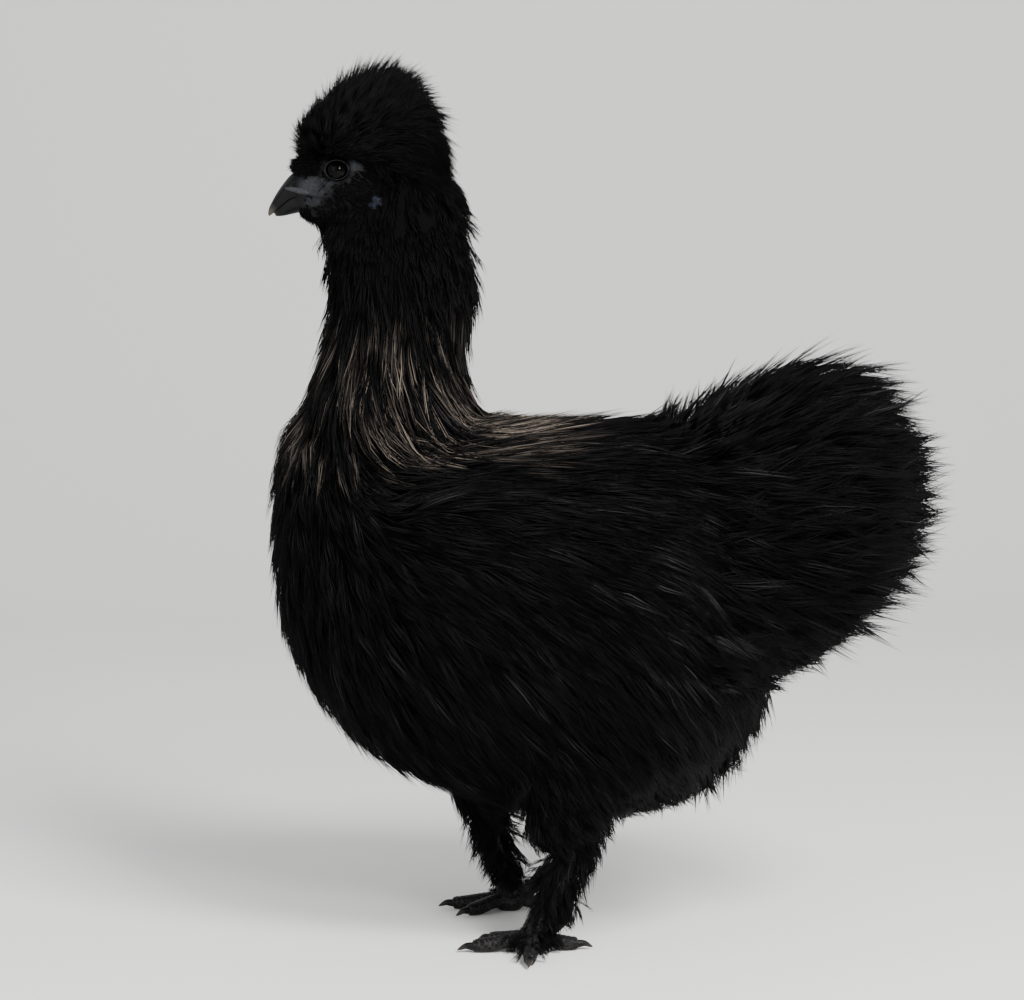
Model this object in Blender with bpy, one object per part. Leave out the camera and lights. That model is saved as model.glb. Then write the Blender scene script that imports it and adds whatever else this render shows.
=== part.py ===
"""A young black silkie chicken standing with its neck up, as a life-size model.

Each named part of the bird is a closed solid: a core of flesh and under-down, with the coat's
locks and the tail's and wings' vanes fused to it. Sizes are in millimetres, and are scaled to
metres as each mesh is made. +X is forward, +Y the bird's left, +Z up, with the soles at 0.
"""

import math
import random

import bmesh
import bpy
from mathutils import Vector
from mathutils.bvhtree import BVHTree

MM = 0.001
# The gap between two parts that meet
GAP = 0.3
# A sharp corner moves out by at most this many times the swelling of a cutter
MOST_SHELL = 1.4
# One seed for each coat, so that a change to one leaves the others as they are
SEEDS = {
    "tail": 12,
    "thigh_left": 1,
    "thigh_right": 2,
    "torso": 3,
    "wing_left": 4,
    "wing_right": 5,
    "neck": 6,
    "crest": 8,
    "shank_left": 18,
    "shank_right": 19,
}

# Driving sizes of the body, read off its outline: section x, height of its middle, tilt of its
# axis in degrees, half its depth in the side view and half its width. They run to the coat's tips.
TORSO_COAT = 7.5
TORSO = (
    (-62, 104, 0, 15, 20),
    (-52, 114, 0, 37, 38),
    (-38, 116, 0, 60, 52),
    (-18, 115.5, 0, 74.5, 61),
    (8, 115.5, 0, 75.5, 66),
    (34, 117.5, 0, 73.5, 67),
    (58, 122, 0, 72, 65),
    (80, 129, 0, 69, 58),
    (98, 137, 0, 59, 48),
    (111, 147, 0, 45, 36),
    (119, 157, 0, 24, 20),
)
NECK_COAT = 6.0
NECK = (
    (76, 164, 90, 34, 42),
    (76, 178, 90, 35, 42),
    (77, 190, 90, 35, 41),
    (77.5, 200, 90, 30.5, 34),
    (76.5, 211, 90, 28, 29),
    (73.5, 225, 90, 28, 26.5),
    (73, 239, 90, 29, 26),
    (75, 251, 90, 31, 24.5),
    (74.5, 261, 90, 30, 22.5),
    (70, 270, 90, 21.5, 19.5),
    (67, 277, 90, 12, 12),
)
TAIL_COAT = 13.0
TAIL = (
    (-8, 158, 0, 30, 30),
    (-22, 156, 0, 40, 36),
    (-38, 151, 0, 52, 42),
    (-56, 147, 0, 63, 47),
    (-74, 152.5, 0, 60.5, 48),
    (-90, 158, 0, 49, 42),
    (-102, 158, 0, 33, 31),
    (-109, 156, 0, 15, 14),
)
HEAD = (
    (62, 263, 0, 9, 7),
    (69, 265, 0, 15, 11.5),
    (80, 267, 0, 17.5, 13.5),
    (90, 268.5, 0, 16.5, 13.2),
    (98, 269.5, 0, 13.8, 11.4),
    (104, 269.5, 0, 10.6, 8.8),
    (109.2, 268.8, 0, 8.0, 6.6),
)
CREST_COAT = 8.0
CREST = (
    (60, 262, 90, 8, 15),
    (64, 270, 90, 13, 21),
    (75, 278, 90, 24, 25.5),
    (84, 284.5, 90, 31.5, 28),
    (84.5, 291, 90, 29, 28),
    (83, 298, 90, 23, 23),
    (81, 304, 90, 14, 15),
    (80, 308, 90, 6, 6),
)

# Each form: its sections, its rings, its sides, the coat left to the locks, and a flat last face
FORMS = {
    "torso": (TORSO, 13, 18, TORSO_COAT, False),
    "neck": (NECK, 11, 16, NECK_COAT, False),
    "tail": (TAIL, 10, 16, TAIL_COAT, False),
    "head": (HEAD, 9, 16, 0, True),
    "crest": (CREST, 8, 14, CREST_COAT, False),
}

# A coat piece's stations: how far along it, and the shares of its full width and thickness there
LOCK = ((0.1, 0.75, 1.0), (0.5, 1.0, 0.9), (0.8, 0.7, 0.7))
SHORT_LOCK = ((0.12, 0.85, 1.0), (0.6, 0.95, 0.8))
VANE = ((0.1, 0.65, 1.0), (0.5, 1.0, 0.9), (0.86, 0.85, 0.6))
# A piece's root lies this deep, and its path takes this many steps. It is tried a few times,
# each time lifted more over its neighbours, and the last time shorter.
ROOT_SINK = 3.5
PATH_STEPS = 8
TRIES = 5
RAISE = 1.6
RAISED_BY = 0.35
SHORTER = 0.7
# The least height over the skin, and how fast a piece that doesn't stand out settles back to it
CLEARANCE = 0.4
SETTLE = 0.25

# Each coat: its form of piece, length, width, thickness, the lift of its tips, how far it stands out,
# and its spacing along and across the lie
COATS = {
    "torso": (LOCK, 40, 18, 2.2, 6.5, 0.05, 21.5, 22),
    "neck": (LOCK, 32, 13, 1.9, 5.0, 0.05, 15, 15),
    "crest": (SHORT_LOCK, 16.5, 9.5, 1.8, 5.0, 0.3, 8, 10.5),
    "tail": (VANE, 42, 16, 1.9, 9.0, 0.18, 16, 17),
    "thigh": (SHORT_LOCK, 20, 11, 1.8, 3.0, 0.1, 12, 12),
    "wing": (VANE, 42, 13, 1.6, 4.5, 0.05, 19, 14),
    "shank": (SHORT_LOCK, 15, 7, 1.5, 2.0, 0.45, 9, 9),
}

# No lock grows from under the brow, forward of this and below this height
BROW_X = 97
BROW_Z = 283

# Head: beak, mouth, nostrils, eyes and lids, comb, lobes and wattles
BEAK_BASE_X = 109.5
EYE = Vector((95.0, 9.6, 275.2))
EYE_RADIUS = 4.6
EYE_SIDES = 12
LID_THICKNESS = 0.9
LID_STEPS = 12
LID_SIDES = 5
NOSTRIL = ((110.4, 6.3, 270.6), (113.4, 5.2, 271.0))
NOSTRIL_RADII = (1.0, 0.7)
MOUTH = ((110.5, 9.5, 266.1), (105, 9.6, 266.0), (100.5, 11.3, 264.8))
MOUTH_RADII = (1.9, 1.4, 0.6)
COMB = (106.6, 0, 278.6)
COMB_RADII = (3.0, 3.6, 2.0)
LOBES = {
    "earlobe": ((81.4, 14.2, 262.6), (3.4, 2.4, 4.2)),
    "wattle": ((103.2, 7.6, 260.6), (3.2, 1.9, 3.6)),
}
UPPER_BEAK = (
    (BEAK_BASE_X, 271.3, 0, 4.6, 5.8),
    (112.5, 270.5, 0, 4.0, 5.0),
    (115.5, 268.0, 0, 3.3, 4.0),
    (118.2, 265.1, 0, 2.3, 2.7),
    (120.2, 261.9, 0, 1.5, 1.3),
)
LOWER_BEAK = (
    (BEAK_BASE_X, 263.6, 0, 2.4, 4.8),
    (112.5, 263.4, 0, 2.1, 4.0),
    (115.3, 263.2, 0, 1.5, 2.6),
    (117.2, 262.9, 0, 0.8, 1.3),
)

# More locks hang from the flank just below the wing, at these distances forward and this height
FLANK_SPOTS = (-16, 12, 40)
FLANK_Z = 101

# The wing's middle is this far to the side, and its sections run from its tip to its shoulder
WING_SIDE = 46.0
WING = (
    (-34, 122, 0, 9, 12),
    (-18, 128, 0, 19, 15),
    (10, 134, 0, 25, 17),
    (38, 139, 0, 26, 17),
    (62, 144, 0, 20, 15),
    (76, 147, 0, 10, 10),
)

# Legs and feet
LEG_SPREAD = 31.0
HOCK_Z = 37.0
THIGH_COAT = 3.5
SHANK_RADIUS = 4.4
FOOT_HUB = 5.4
SOLE_RISE = 4.5
TOE_RADIUS = 2.5
TOE_TAPER = (1.15, 1.0, 1.0, 0.82)
CLAW_LENGTH = 5.5
CLAW_RADII = (1.45, 1.15, 0.7, 0.3)
# Where the locks on a shank are rooted: the share of the way down it, and the turn outward from ahead
SHANK_SPOTS = ((0.62, 2.6), (0.6, 1.7), (0.4, 2.2), (0.38, 1.2))
LEGS = {
    "left": {"side": 1, "hip_x": 6, "hock_x": 10.0, "foot_x": 26.0},
    "right": {"side": -1, "hip_x": 34, "hock_x": 41.0, "foot_x": 34.5},
}
# Each toe: its heading from straight ahead, outward positive, in degrees, its length and its rise
TOES = (
    (-172, 15.5, 0.0),
    (-34, 18.0, 0.0),
    (4, 21.0, 0.0),
    (86, 20.0, 0.0),
    (-158, 12.0, 13.0),
)


def clear_scene():
    """Removes what the startup scene holds."""
    for old in list(bpy.data.objects):
        bpy.data.objects.remove(old, do_unlink=True)


def paint(obj, name, colour, roughness):
    """Gives an object a plain material with an sRGB colour written as hex."""
    channels = [int(colour[i : i + 2], 16) / 255 for i in (0, 2, 4)]
    linear = [c / 12.92 if c <= 0.04045 else ((c + 0.055) / 1.055) ** 2.4 for c in channels]
    material = bpy.data.materials.new(name)
    material.use_nodes = True
    shader = material.node_tree.nodes["Principled BSDF"]
    shader.inputs["Base Color"].default_value = (*linear, 1)
    shader.inputs["Roughness"].default_value = roughness
    obj.data.materials.clear()
    obj.data.materials.append(material)


def add_solid(name, points, faces):
    """An object from points in millimetres and faces that close it, turned to face out."""
    shape = bmesh.new()
    corners = [shape.verts.new(Vector(point) * MM) for point in points]
    for face in faces:
        shape.faces.new([corners[i] for i in face])
    bmesh.ops.triangulate(shape, faces=shape.faces)
    bmesh.ops.recalc_face_normals(shape, faces=shape.faces)
    if shape.calc_volume(signed=True) < 0:
        bmesh.ops.reverse_faces(shape, faces=shape.faces)
    mesh = bpy.data.meshes.new(name)
    shape.to_mesh(mesh)
    shape.free()
    obj = bpy.data.objects.new(name, mesh)
    bpy.context.scene.collection.objects.link(obj)
    return obj


def volume_of(mesh):
    """The volume that a mesh closes, negative when it is inside out, and 0 when it isn't closed."""
    shape = bmesh.new()
    shape.from_mesh(mesh)
    closed = all(len(edge.link_faces) == 2 for edge in shape.edges)
    volume = shape.calc_volume(signed=True) if closed else 0
    shape.free()
    return volume


def bake(obj, boolean, low, high, solvers=("EXACT", "MANIFOLD")):
    """Applies a Boolean whose volume must lie between two, and keeps the largest closed surface.

    The exact solver loses some of these rounded forms, and the manifold one then makes the cut.
    """
    for solver in solvers:
        boolean.solver = solver
        bpy.context.view_layer.update()
        graph = bpy.context.evaluated_depsgraph_get()
        mesh = bpy.data.meshes.new_from_object(obj.evaluated_get(graph))
        if low < volume_of(mesh) <= high:
            break
    obj.modifiers.clear()
    obj.data = mesh
    shape = bmesh.new()
    shape.from_mesh(mesh)
    bmesh.ops.triangulate(shape, faces=shape.faces)
    shape.faces.ensure_lookup_table()
    left = set(shape.faces)
    bodies = []
    while left:
        body = {left.pop()}
        front = list(body)
        while front:
            found = {other for edge in front.pop().edges for other in edge.link_faces} - body
            body |= found
            front += found
        left -= body
        volume = sum(f.verts[0].co.dot(f.verts[1].co.cross(f.verts[2].co)) for f in body)
        bodies.append((volume, body))
    largest = max(bodies, key=lambda pair: pair[0])[1]
    scraps = [face for _, body in bodies if body is not largest for face in body]
    bmesh.ops.delete(shape, geom=scraps, context="FACES")
    shape.to_mesh(mesh)
    shape.free()


def carve(obj, cutter):
    """Cuts one solid from another, and removes the cutter."""
    boolean = obj.modifiers.new("Carve", "BOOLEAN")
    boolean.operation = "DIFFERENCE"
    boolean.object = cutter
    bake(obj, boolean, 0, volume_of(obj.data) * 1.0001)
    bpy.data.objects.remove(cutter, do_unlink=True)


def fuse(obj, pieces):
    """Joins loose closed pieces to a node by one union, and removes them."""
    group = bpy.data.collections.new(obj.name + "_pieces")
    bpy.context.scene.collection.children.link(group)
    for piece in pieces:
        bpy.context.scene.collection.objects.unlink(piece)
        group.objects.link(piece)
    boolean = obj.modifiers.new("Fuse", "BOOLEAN")
    boolean.operation = "UNION"
    boolean.operand_type = "COLLECTION"
    boolean.collection = group
    whole = volume_of(obj.data)
    most = whole + sum(volume_of(piece.data) for piece in pieces)
    bake(obj, boolean, 0.999 * whole, most, ("MANIFOLD", "EXACT"))
    for piece in pieces:
        bpy.data.objects.remove(piece, do_unlink=True)
    bpy.data.collections.remove(group)


def grown(obj, amount):
    """A copy of a solid, swollen by an amount in millimetres, to cut its neighbours with."""
    copy = bpy.data.objects.new(obj.name + "_grown", obj.data.copy())
    bpy.context.scene.collection.objects.link(copy)
    shape = bmesh.new()
    shape.from_mesh(copy.data)
    shape.normal_update()
    shares = [min(vertex.calc_shell_factor(), MOST_SHELL) for vertex in shape.verts]
    moves = [vertex.normal * share * amount * MM for vertex, share in zip(shape.verts, shares)]
    for vertex, move in zip(shape.verts, moves):
        vertex.co += move
    shape.to_mesh(copy.data)
    shape.free()
    return copy


def between(sections, t):
    """The section at t, from 0 at the first to 1 at the last, on a smooth curve through all."""
    place = t * (len(sections) - 1)
    i = min(int(place), len(sections) - 2)
    f = place - i
    rows = [sections[min(max(i + k, 0), len(sections) - 1)] for k in (-1, 0, 1, 2)]
    return tuple(
        b + 0.5 * f * (c - a + f * (2 * a - 5 * b + 4 * c - d + f * (3 * (b - c) + d - a)))
        for a, b, c, d in zip(*rows)
    )


def rim(section, angle, inset=0.0, side=0.0):
    """A point on a section's edge, at an angle from its top; side moves the section along Y."""
    x, z, tilt, deep, wide = section
    lean = math.radians(tilt)
    up = math.cos(angle) * max(deep - inset, 0.4 * deep)
    across = math.sin(angle) * max(wide - inset, 0.4 * wide)
    return Vector((x - math.sin(lean) * up, side + across, z + math.cos(lean) * up))


def shrink_ends(sections, inset):
    """The sections with their two ends drawn in along the axis by the inset."""
    rows = [list(section) for section in sections]
    for end, nearby in ((0, 1), (-1, -2)):
        axis = Vector((rows[end][0] - rows[nearby][0], rows[end][1] - rows[nearby][1]))
        step = axis.normalized() * min(inset, 0.8 * axis.length)
        rows[end][0] -= step.x
        rows[end][1] -= step.y
    return [tuple(row) for row in rows]


def loft(name, sections, rings, sides, inset=0.0, side=0.0, flat_end=False):
    """A closed body through smooth sections, with a point at each end, or a flat last face."""
    rows = shrink_ends(sections, inset)
    points = []
    for i in range(rings):
        section = between(rows, i / (rings - 1))
        points += [rim(section, math.tau * j / sides, inset, side) for j in range(sides)]
    faces = [
        (i * sides + j, i * sides + (j + 1) % sides, (i + 1) * sides + (j + 1) % sides, (i + 1) * sides + j)
        for i in range(rings - 1)
        for j in range(sides)
    ]
    for ring, nearby in ((0, 1), (rings - 1, rings - 2)):
        edge = list(range(ring * sides, ring * sides + sides))
        if flat_end and ring:
            faces.append(edge)
            continue
        middle = sum((points[i] for i in edge), Vector()) / sides
        inner = sum((points[i] for i in range(nearby * sides, nearby * sides + sides)), Vector()) / sides
        reach = 0.35 * (points[edge[0]] - middle).length
        points.append(middle + (middle - inner).normalized() * reach)
        faces += [(edge[j], edge[(j + 1) % sides], len(points) - 1) for j in range(sides)]
    return add_solid(name, points, faces)


def tube(name, route, radii, sides, squash=1.0):
    """A closed round bar along a route of points, with a radius at each and pointed ends."""
    points = []
    for i, (place, radius) in enumerate(zip(route, radii)):
        ahead = route[min(i + 1, len(route) - 1)] - route[max(i - 1, 0)]
        across = ahead.cross(Vector((0, 0, 1))).normalized()
        above = across.cross(ahead).normalized()
        for j in range(sides):
            turn = math.tau * (j + 0.5) / sides
            points.append(place + radius * (math.cos(turn) * above * squash + math.sin(turn) * across))
    rings = len(route)
    faces = [
        (i * sides + j, i * sides + (j + 1) % sides, (i + 1) * sides + (j + 1) % sides, (i + 1) * sides + j)
        for i in range(rings - 1)
        for j in range(sides)
    ]
    faces += [tuple(range(sides)), tuple(range((rings - 1) * sides, rings * sides))]
    return add_solid(name, points, faces)


def egg(name, middle, radii, sides=12, rings=8):
    """An ellipsoid with its poles along Z."""
    middle = Vector(middle)
    points = [middle - Vector((0, 0, radii[2])), middle + Vector((0, 0, radii[2]))]
    for i in range(1, rings):
        slope = math.pi * i / rings
        for j in range(sides):
            turn = math.tau * j / sides
            unit = (math.sin(slope) * math.cos(turn), math.sin(slope) * math.sin(turn), -math.cos(slope))
            points.append(middle + Vector([r * u for r, u in zip(radii, unit)]))
    faces = []
    for j in range(sides):
        k = (j + 1) % sides
        last = 2 + (rings - 2) * sides
        faces += [(0, 2 + j, 2 + k), (1, last + j, last + k)]
        for i in range(rings - 2):
            low = 2 + i * sides
            faces.append((low + j, low + k, low + sides + k, low + sides + j))
    return add_solid(name, points, faces)


def smooth(value, low, high):
    """A share from 0 at low to 1 at high, easing at both."""
    share = min(max((value - low) / (high - low), 0), 1)
    return share * share * (3 - 2 * share)


def torso_lie(place):
    """Back along the saddle, back and down the flank, and down the breast."""
    slope = 0.1 + 1.25 * smooth(place.z, 175, 75) + 2.5 * smooth(place.x, 70, 112)
    return Vector((-1, 0, -slope))


def neck_lie(place):
    """Down the neck, then out over the shoulders and back over the saddle."""
    out = Vector((place.x - 76, place.y, 0)).normalized()
    return Vector((-0.12, 0, -1)) + out * smooth(place.z, 225, 190)


def tail_lie(place):
    """Fanned from the tail's root: up and back at the top, down and back underneath."""
    return Vector((place.x - 14, 0.55 * place.y, place.z - 151))


def crest_lie(place):
    """Up and out from the brow, swept back over the crown and down at the nape."""
    out = (place - Vector((86, 0, 272))).normalized()
    low = smooth(abs(place.y), 6, 16) * smooth(place.z, 295, 284)
    sweep = 0.5 * smooth(place.x, 104, 86) + 1.2 * low
    drop = 0.9 * smooth(place.x, 72, 58) + 0.5 * low * smooth(place.x, 90, 80)
    rise = 1.1 * smooth(place.x, 98, 106) * smooth(place.z, 294, 284)
    return out + Vector((-sweep, -0.5 * low * out.y, 0.1 - drop + rise))


def thigh_lie(_):
    """Down and a little back."""
    return Vector((-0.4, 0, -1))


def wing_lie(_):
    """Back along the flank and a little down."""
    return Vector((-1, 0, -0.28))


def shank_lie(place):
    """Down the outside of the shank and away from it."""
    return Vector((-0.35, math.copysign(0.6, place.y), -1))


LIES = {
    "shank": shank_lie,
    "torso": torso_lie,
    "neck": neck_lie,
    "tail": tail_lie,
    "crest": crest_lie,
    "thigh": thigh_lie,
    "wing": wing_lie,
}


def tree_of(objects):
    """A search tree of some solids' faces, in millimetres."""
    points = []
    faces = []
    for obj in objects:
        first = len(points)
        points += [vertex.co / MM for vertex in obj.data.vertices]
        faces += [tuple(first + i for i in face.vertices) for face in obj.data.polygons]
    return BVHTree.FromPolygons(points, faces)


def coat_path(spot, facing, lie, length, lift, stand, raised, skin):
    """Places and facings along a coat piece that follows its lie over the skin."""
    step = length / PATH_STEPS
    place = spot
    up = facing
    ahead = None
    path = []
    for i in range(PATH_STEPS + 1):
        share = i / PATH_STEPS
        near, normal, _, _ = skin.find_nearest(place)
        height = (place - near).dot(normal)
        least = CLEARANCE + lift * share + raised * min(share / RAISED_BY, 1)
        if height < least:
            place = place + normal * (least - height)
        elif stand < 0.5:
            place = place - normal * SETTLE * (height - least)
        up = (1.4 * up + normal).normalized()
        flow = lie(place)
        flow = (flow - up * flow.dot(up)).normalized() + up * stand
        ahead = flow.normalized() if ahead is None else (1.2 * ahead + flow).normalized()
        path.append((place, up, ahead))
        place = place + ahead * step
    return path


def coat_piece(path, profile, width, thick, pad=0.0):
    """Points and faces of one flat, tapered lock or vane, rooted below the start of its path."""
    place, up, ahead = path[0]
    rows = [(place - up * ROOT_SINK - ahead * 1.5, up, ahead, 0.55, 0.9)]
    for share, wide, deep in profile:
        i = round(share * PATH_STEPS)
        rows.append((*path[i], wide, deep))
    points = []
    for place, up, ahead, wide, deep in rows:
        across = ahead.cross(up).normalized()
        above = across.cross(ahead).normalized()
        half = 0.5 * width * wide + pad
        low = place - above * pad
        points += [low - across * half, low + across * half, low + above * (thick * deep + 2 * pad)]
    tip, up, ahead = path[-1]
    points.append(tip + ahead * pad + up * 0.1)
    last = 3 * (len(rows) - 1)
    faces = [(0, 1, 2)]
    faces += [(last + j, last + (j + 1) % 3, last + 3) for j in range(3)]
    for i in range(len(rows) - 1):
        for j in range(3):
            low, high = 3 * i + j, 3 * i + (j + 1) % 3
            faces += [(low, high, high + 3), (low, high + 3, low + 3)]
    return points, faces


def is_clear(points, faces, others):
    """Whether a piece stays above the floor and off every other part."""
    if min(point.z for point in points) < 2 * GAP:
        return False
    tree = BVHTree.FromPolygons(points, faces)
    return not any(tree.overlap(other) for other in others)


def grow_coat(obj, kind, spots, skin, others):
    """Lays coat pieces from spots on a part, lifts or shortens those that would touch another, fuses all."""
    profile, length, width, thick, lift, stand, _, _ = COATS[kind]
    own = tree_of([obj])
    pieces = []
    laid = []
    for spot in spots:
        near, facing, _, distance = own.find_nearest(spot)
        rooted = own.find_nearest(near - facing * 0.7 * ROOT_SINK)[3] > 0.6 * ROOT_SINK
        if distance > 2.0 or not rooted:
            continue
        long = length * random.uniform(0.88, 1.1)
        wide = width * random.uniform(0.9, 1.1)
        turn = Vector((random.uniform(-0.12, 0.12), random.uniform(-0.12, 0.12), random.uniform(-0.12, 0.12)))
        for attempt in range(TRIES):
            raised = RAISE * min(attempt, TRIES - 2)
            reach = long * (SHORTER if attempt == TRIES - 1 else 1)
            path = coat_path(
                near, facing, lambda p: LIES[kind](p).normalized() + turn, reach, lift, stand, raised, skin
            )
            points, faces = coat_piece(path, profile, wide, thick)
            tree = BVHTree.FromPolygons(points, faces)
            crossed = sum(1 for other in laid if tree.overlap(other))
            if crossed > (attempt > 1):
                continue
            if is_clear(*coat_piece(path, profile, wide, thick, GAP + 0.05), others):
                pieces.append(add_solid(kind + "_piece", points, faces))
                laid.append(tree)
                break
    if pieces:
        fuse(obj, pieces)


def spots_on(sections, inset, along, across, start=0.0, end=1.0, side=0.0):
    """Places over a form's surface in staggered rows, about as far apart as asked."""
    rows = shrink_ends(sections, inset)
    gaps = [math.hypot(b[0] - a[0], b[1] - a[1]) for a, b in zip(rows, rows[1:])]
    count = max(1, round(sum(gaps) * (end - start) / along))
    spots = []
    for row in range(count + 1):
        section = between(rows, start + (end - start) * row / count)
        girth = math.pi * (section[3] + section[4] - 2 * inset)
        columns = max(3, round(girth / across))
        for column in range(columns):
            jitter = random.uniform(-0.12, 0.12)
            angle = math.tau * (column + 0.5 * (row % 2) + jitter) / columns
            spots.append(rim(section, angle, inset, side))
    return spots


def form_of(name):
    """One of the body's main forms, before its neighbours are cut from it."""
    sections, rings, sides, inset, flat_end = FORMS[name]
    return loft(name, sections, rings, sides, inset=inset, flat_end=flat_end)


def make_head():
    """The head's flesh with its lids and the line of its mouth, cut for the eyes."""
    head = form_of("head")
    lids = []
    for side in (1, -1):
        middle = Vector((EYE.x, side * EYE.y, EYE.z))
        out = Vector((0.08, side, 0.05)).normalized()
        points = []
        for i in range(LID_STEPS):
            turn = math.tau * i / LID_STEPS
            spoke = Vector((math.cos(turn), 0, 0.88 * math.sin(turn)))
            spoke -= out * spoke.dot(out)
            centre = middle + spoke * (EYE_RADIUS - 0.1) + out * 2.4
            for j in range(LID_SIDES):
                bend = math.tau * j / LID_SIDES
                points.append(centre + LID_THICKNESS * (math.cos(bend) * spoke + 2.2 * math.sin(bend) * out))
        faces = []
        for i in range(LID_STEPS):
            here = LID_SIDES * i
            ahead = LID_SIDES * ((i + 1) % LID_STEPS)
            for j in range(LID_SIDES):
                k = (j + 1) % LID_SIDES
                faces.append((here + j, here + k, ahead + k, ahead + j))
        lids.append(add_solid("lid", points, faces))
    fuse(head, lids)
    for side in (1, -1):
        middle = (EYE.x, side * EYE.y, EYE.z)
        carve(head, egg("socket", middle, [EYE_RADIUS + GAP] * 3, EYE_SIDES, 8))
        mouth = [Vector((x, side * y, z)) for x, y, z in MOUTH]
        carve(head, tube("mouth", mouth, MOUTH_RADII, 5, 0.35))
    return head


def make_beak():
    """The horn of the beak, with its hooked tip and a nostril on each side."""
    upper = loft("beak_upper", UPPER_BEAK[::-1], 7, 12, flat_end=True)
    for side in (1, -1):
        slit = [Vector((x, side * y, z)) for x, y, z in NOSTRIL]
        carve(upper, tube("nostril", slit, NOSTRIL_RADII, 6, 0.6))
    carve(upper, loft("bite", LOWER_BEAK[::-1], 6, 12, inset=-GAP, flat_end=True))
    lower = loft("beak_lower", LOWER_BEAK[::-1], 6, 12, flat_end=True)
    return upper, lower


def make_eyes():
    """The two eyeballs."""
    eyes = []
    for name, side in (("eye_left", 1), ("eye_right", -1)):
        eyes.append(egg(name, (EYE.x, side * EYE.y, EYE.z), [EYE_RADIUS] * 3, EYE_SIDES, 8))
    return eyes


def space_of(name):
    """The room that a body form takes, with the gap round it, to cut its neighbours with."""
    sections, rings, sides, inset, flat_end = FORMS[name]
    return loft(name + "_space", sections, rings, sides, inset=inset - GAP, flat_end=flat_end)


def lobe_eggs(swell=0.0):
    """The ear lobes, wattles and comb as whole eggs, each swollen by the same amount."""
    eggs = [egg("comb", COMB, [radius + swell for radius in COMB_RADII], 8, 6)]
    for kind, (middle, radii) in LOBES.items():
        for name, side in (("left", 1), ("right", -1)):
            place = (middle[0], side * middle[1], middle[2])
            eggs.append(egg(f"{kind}_{name}", place, [radius + swell for radius in radii], 8, 6))
    return eggs


def make_lobes():
    """Small soft lobes below the ears, wattles below the gape, and a low comb on the brow."""
    lobes = lobe_eggs()
    for lobe in lobes:
        carve(lobe, space_of("head"))
    return lobes


def thigh_rows(leg):
    """A thigh's sections, from inside the belly down to the hock."""
    return (
        (leg["hip_x"] - 2, 84, -90, 26, 17),
        (leg["hip_x"] - 2, 66, -90, 26, 20),
        (leg["hock_x"] - 5, 50, -90, 23, 18),
        (leg["hock_x"] - 4, 38, -85, 16, 14),
        (leg["hock_x"] - 4, 30, -80, 7, 7),
    )


def make_legs():
    """Thighs, scaled shanks, five-toed feet and their claws."""
    made = []
    for name, leg in LEGS.items():
        side = leg["side"]
        y = side * LEG_SPREAD
        thigh = loft("thigh_" + name, thigh_rows(leg), 8, 12, inset=THIGH_COAT, side=y)
        foot = egg("foot_" + name, (leg["foot_x"], y, 4.3), [FOOT_HUB] * 3, 10, 7)
        hock = Vector((leg["hock_x"], y, HOCK_Z))
        heel = Vector((leg["foot_x"], y, 5.5))
        route = [hock.lerp(heel, i / 6) for i in range(7)]
        radii = [SHANK_RADIUS * (1.05 - 0.05 * (i % 2)) for i in range(7)]
        shank = tube("shank_" + name, route, radii, 10)
        toes = []
        for number, (turn, length, rise) in enumerate(TOES, 1):
            heading = Vector((math.cos(math.radians(turn)), side * math.sin(math.radians(turn)), 0))
            hub = Vector((leg["foot_x"] - 0.15 * rise, y, SOLE_RISE + 0.1 * rise))
            path = [
                hub,
                hub + heading * length * 0.4 + Vector((0, 0, 0.2 * rise - 0.6)),
                hub + heading * length * 0.75 + Vector((0, 0, 0.55 * rise - 1.9)),
                hub + heading * length + Vector((0, 0, rise - 2.2)),
            ]
            thick = [TOE_RADIUS * share for share in TOE_TAPER]
            toes.append(tube("toe", path, thick, 6))
            along = (path[-1] - path[-2]).normalized()
            start = path[-1] + along * GAP
            drop = 0.0 if rise else -1.0
            hook = [
                start,
                start + along * CLAW_LENGTH * 0.45 + Vector((0, 0, 0.25)),
                start + along * CLAW_LENGTH * 0.8 + Vector((0, 0, 0.45 * drop)),
                start + along * CLAW_LENGTH + Vector((0, 0, 0.9 * drop)),
            ]
            claw = tube(f"claw_{name}_{number}", hook, CLAW_RADII, 7)
            made.append((claw, "claw"))
        fuse(foot, toes)
        slab = add_solid(
            "slab",
            [(x, v, z) for z in (-9, 0) for x, v in ((-90, -90), (90, -90), (90, 90), (-90, 90))],
            [(0, 1, 2, 3), (4, 5, 6, 7), (0, 1, 5, 4), (1, 2, 6, 5), (2, 3, 7, 6), (3, 0, 4, 7)],
        )
        carve(foot, slab)
        carve(shank, grown(foot, GAP))
        carve(thigh, space_of("torso"))
        carve(thigh, grown(shank, GAP))
        made += [(thigh, "coat"), (shank, "skin"), (foot, "skin")]
    return made


def make_wing(name, side):
    """A short folded wing that lies against the flank."""
    wing = loft("wing_" + name, WING, 10, 14, side=side * WING_SIDE)
    carve(wing, space_of("torso"))
    return wing


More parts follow.
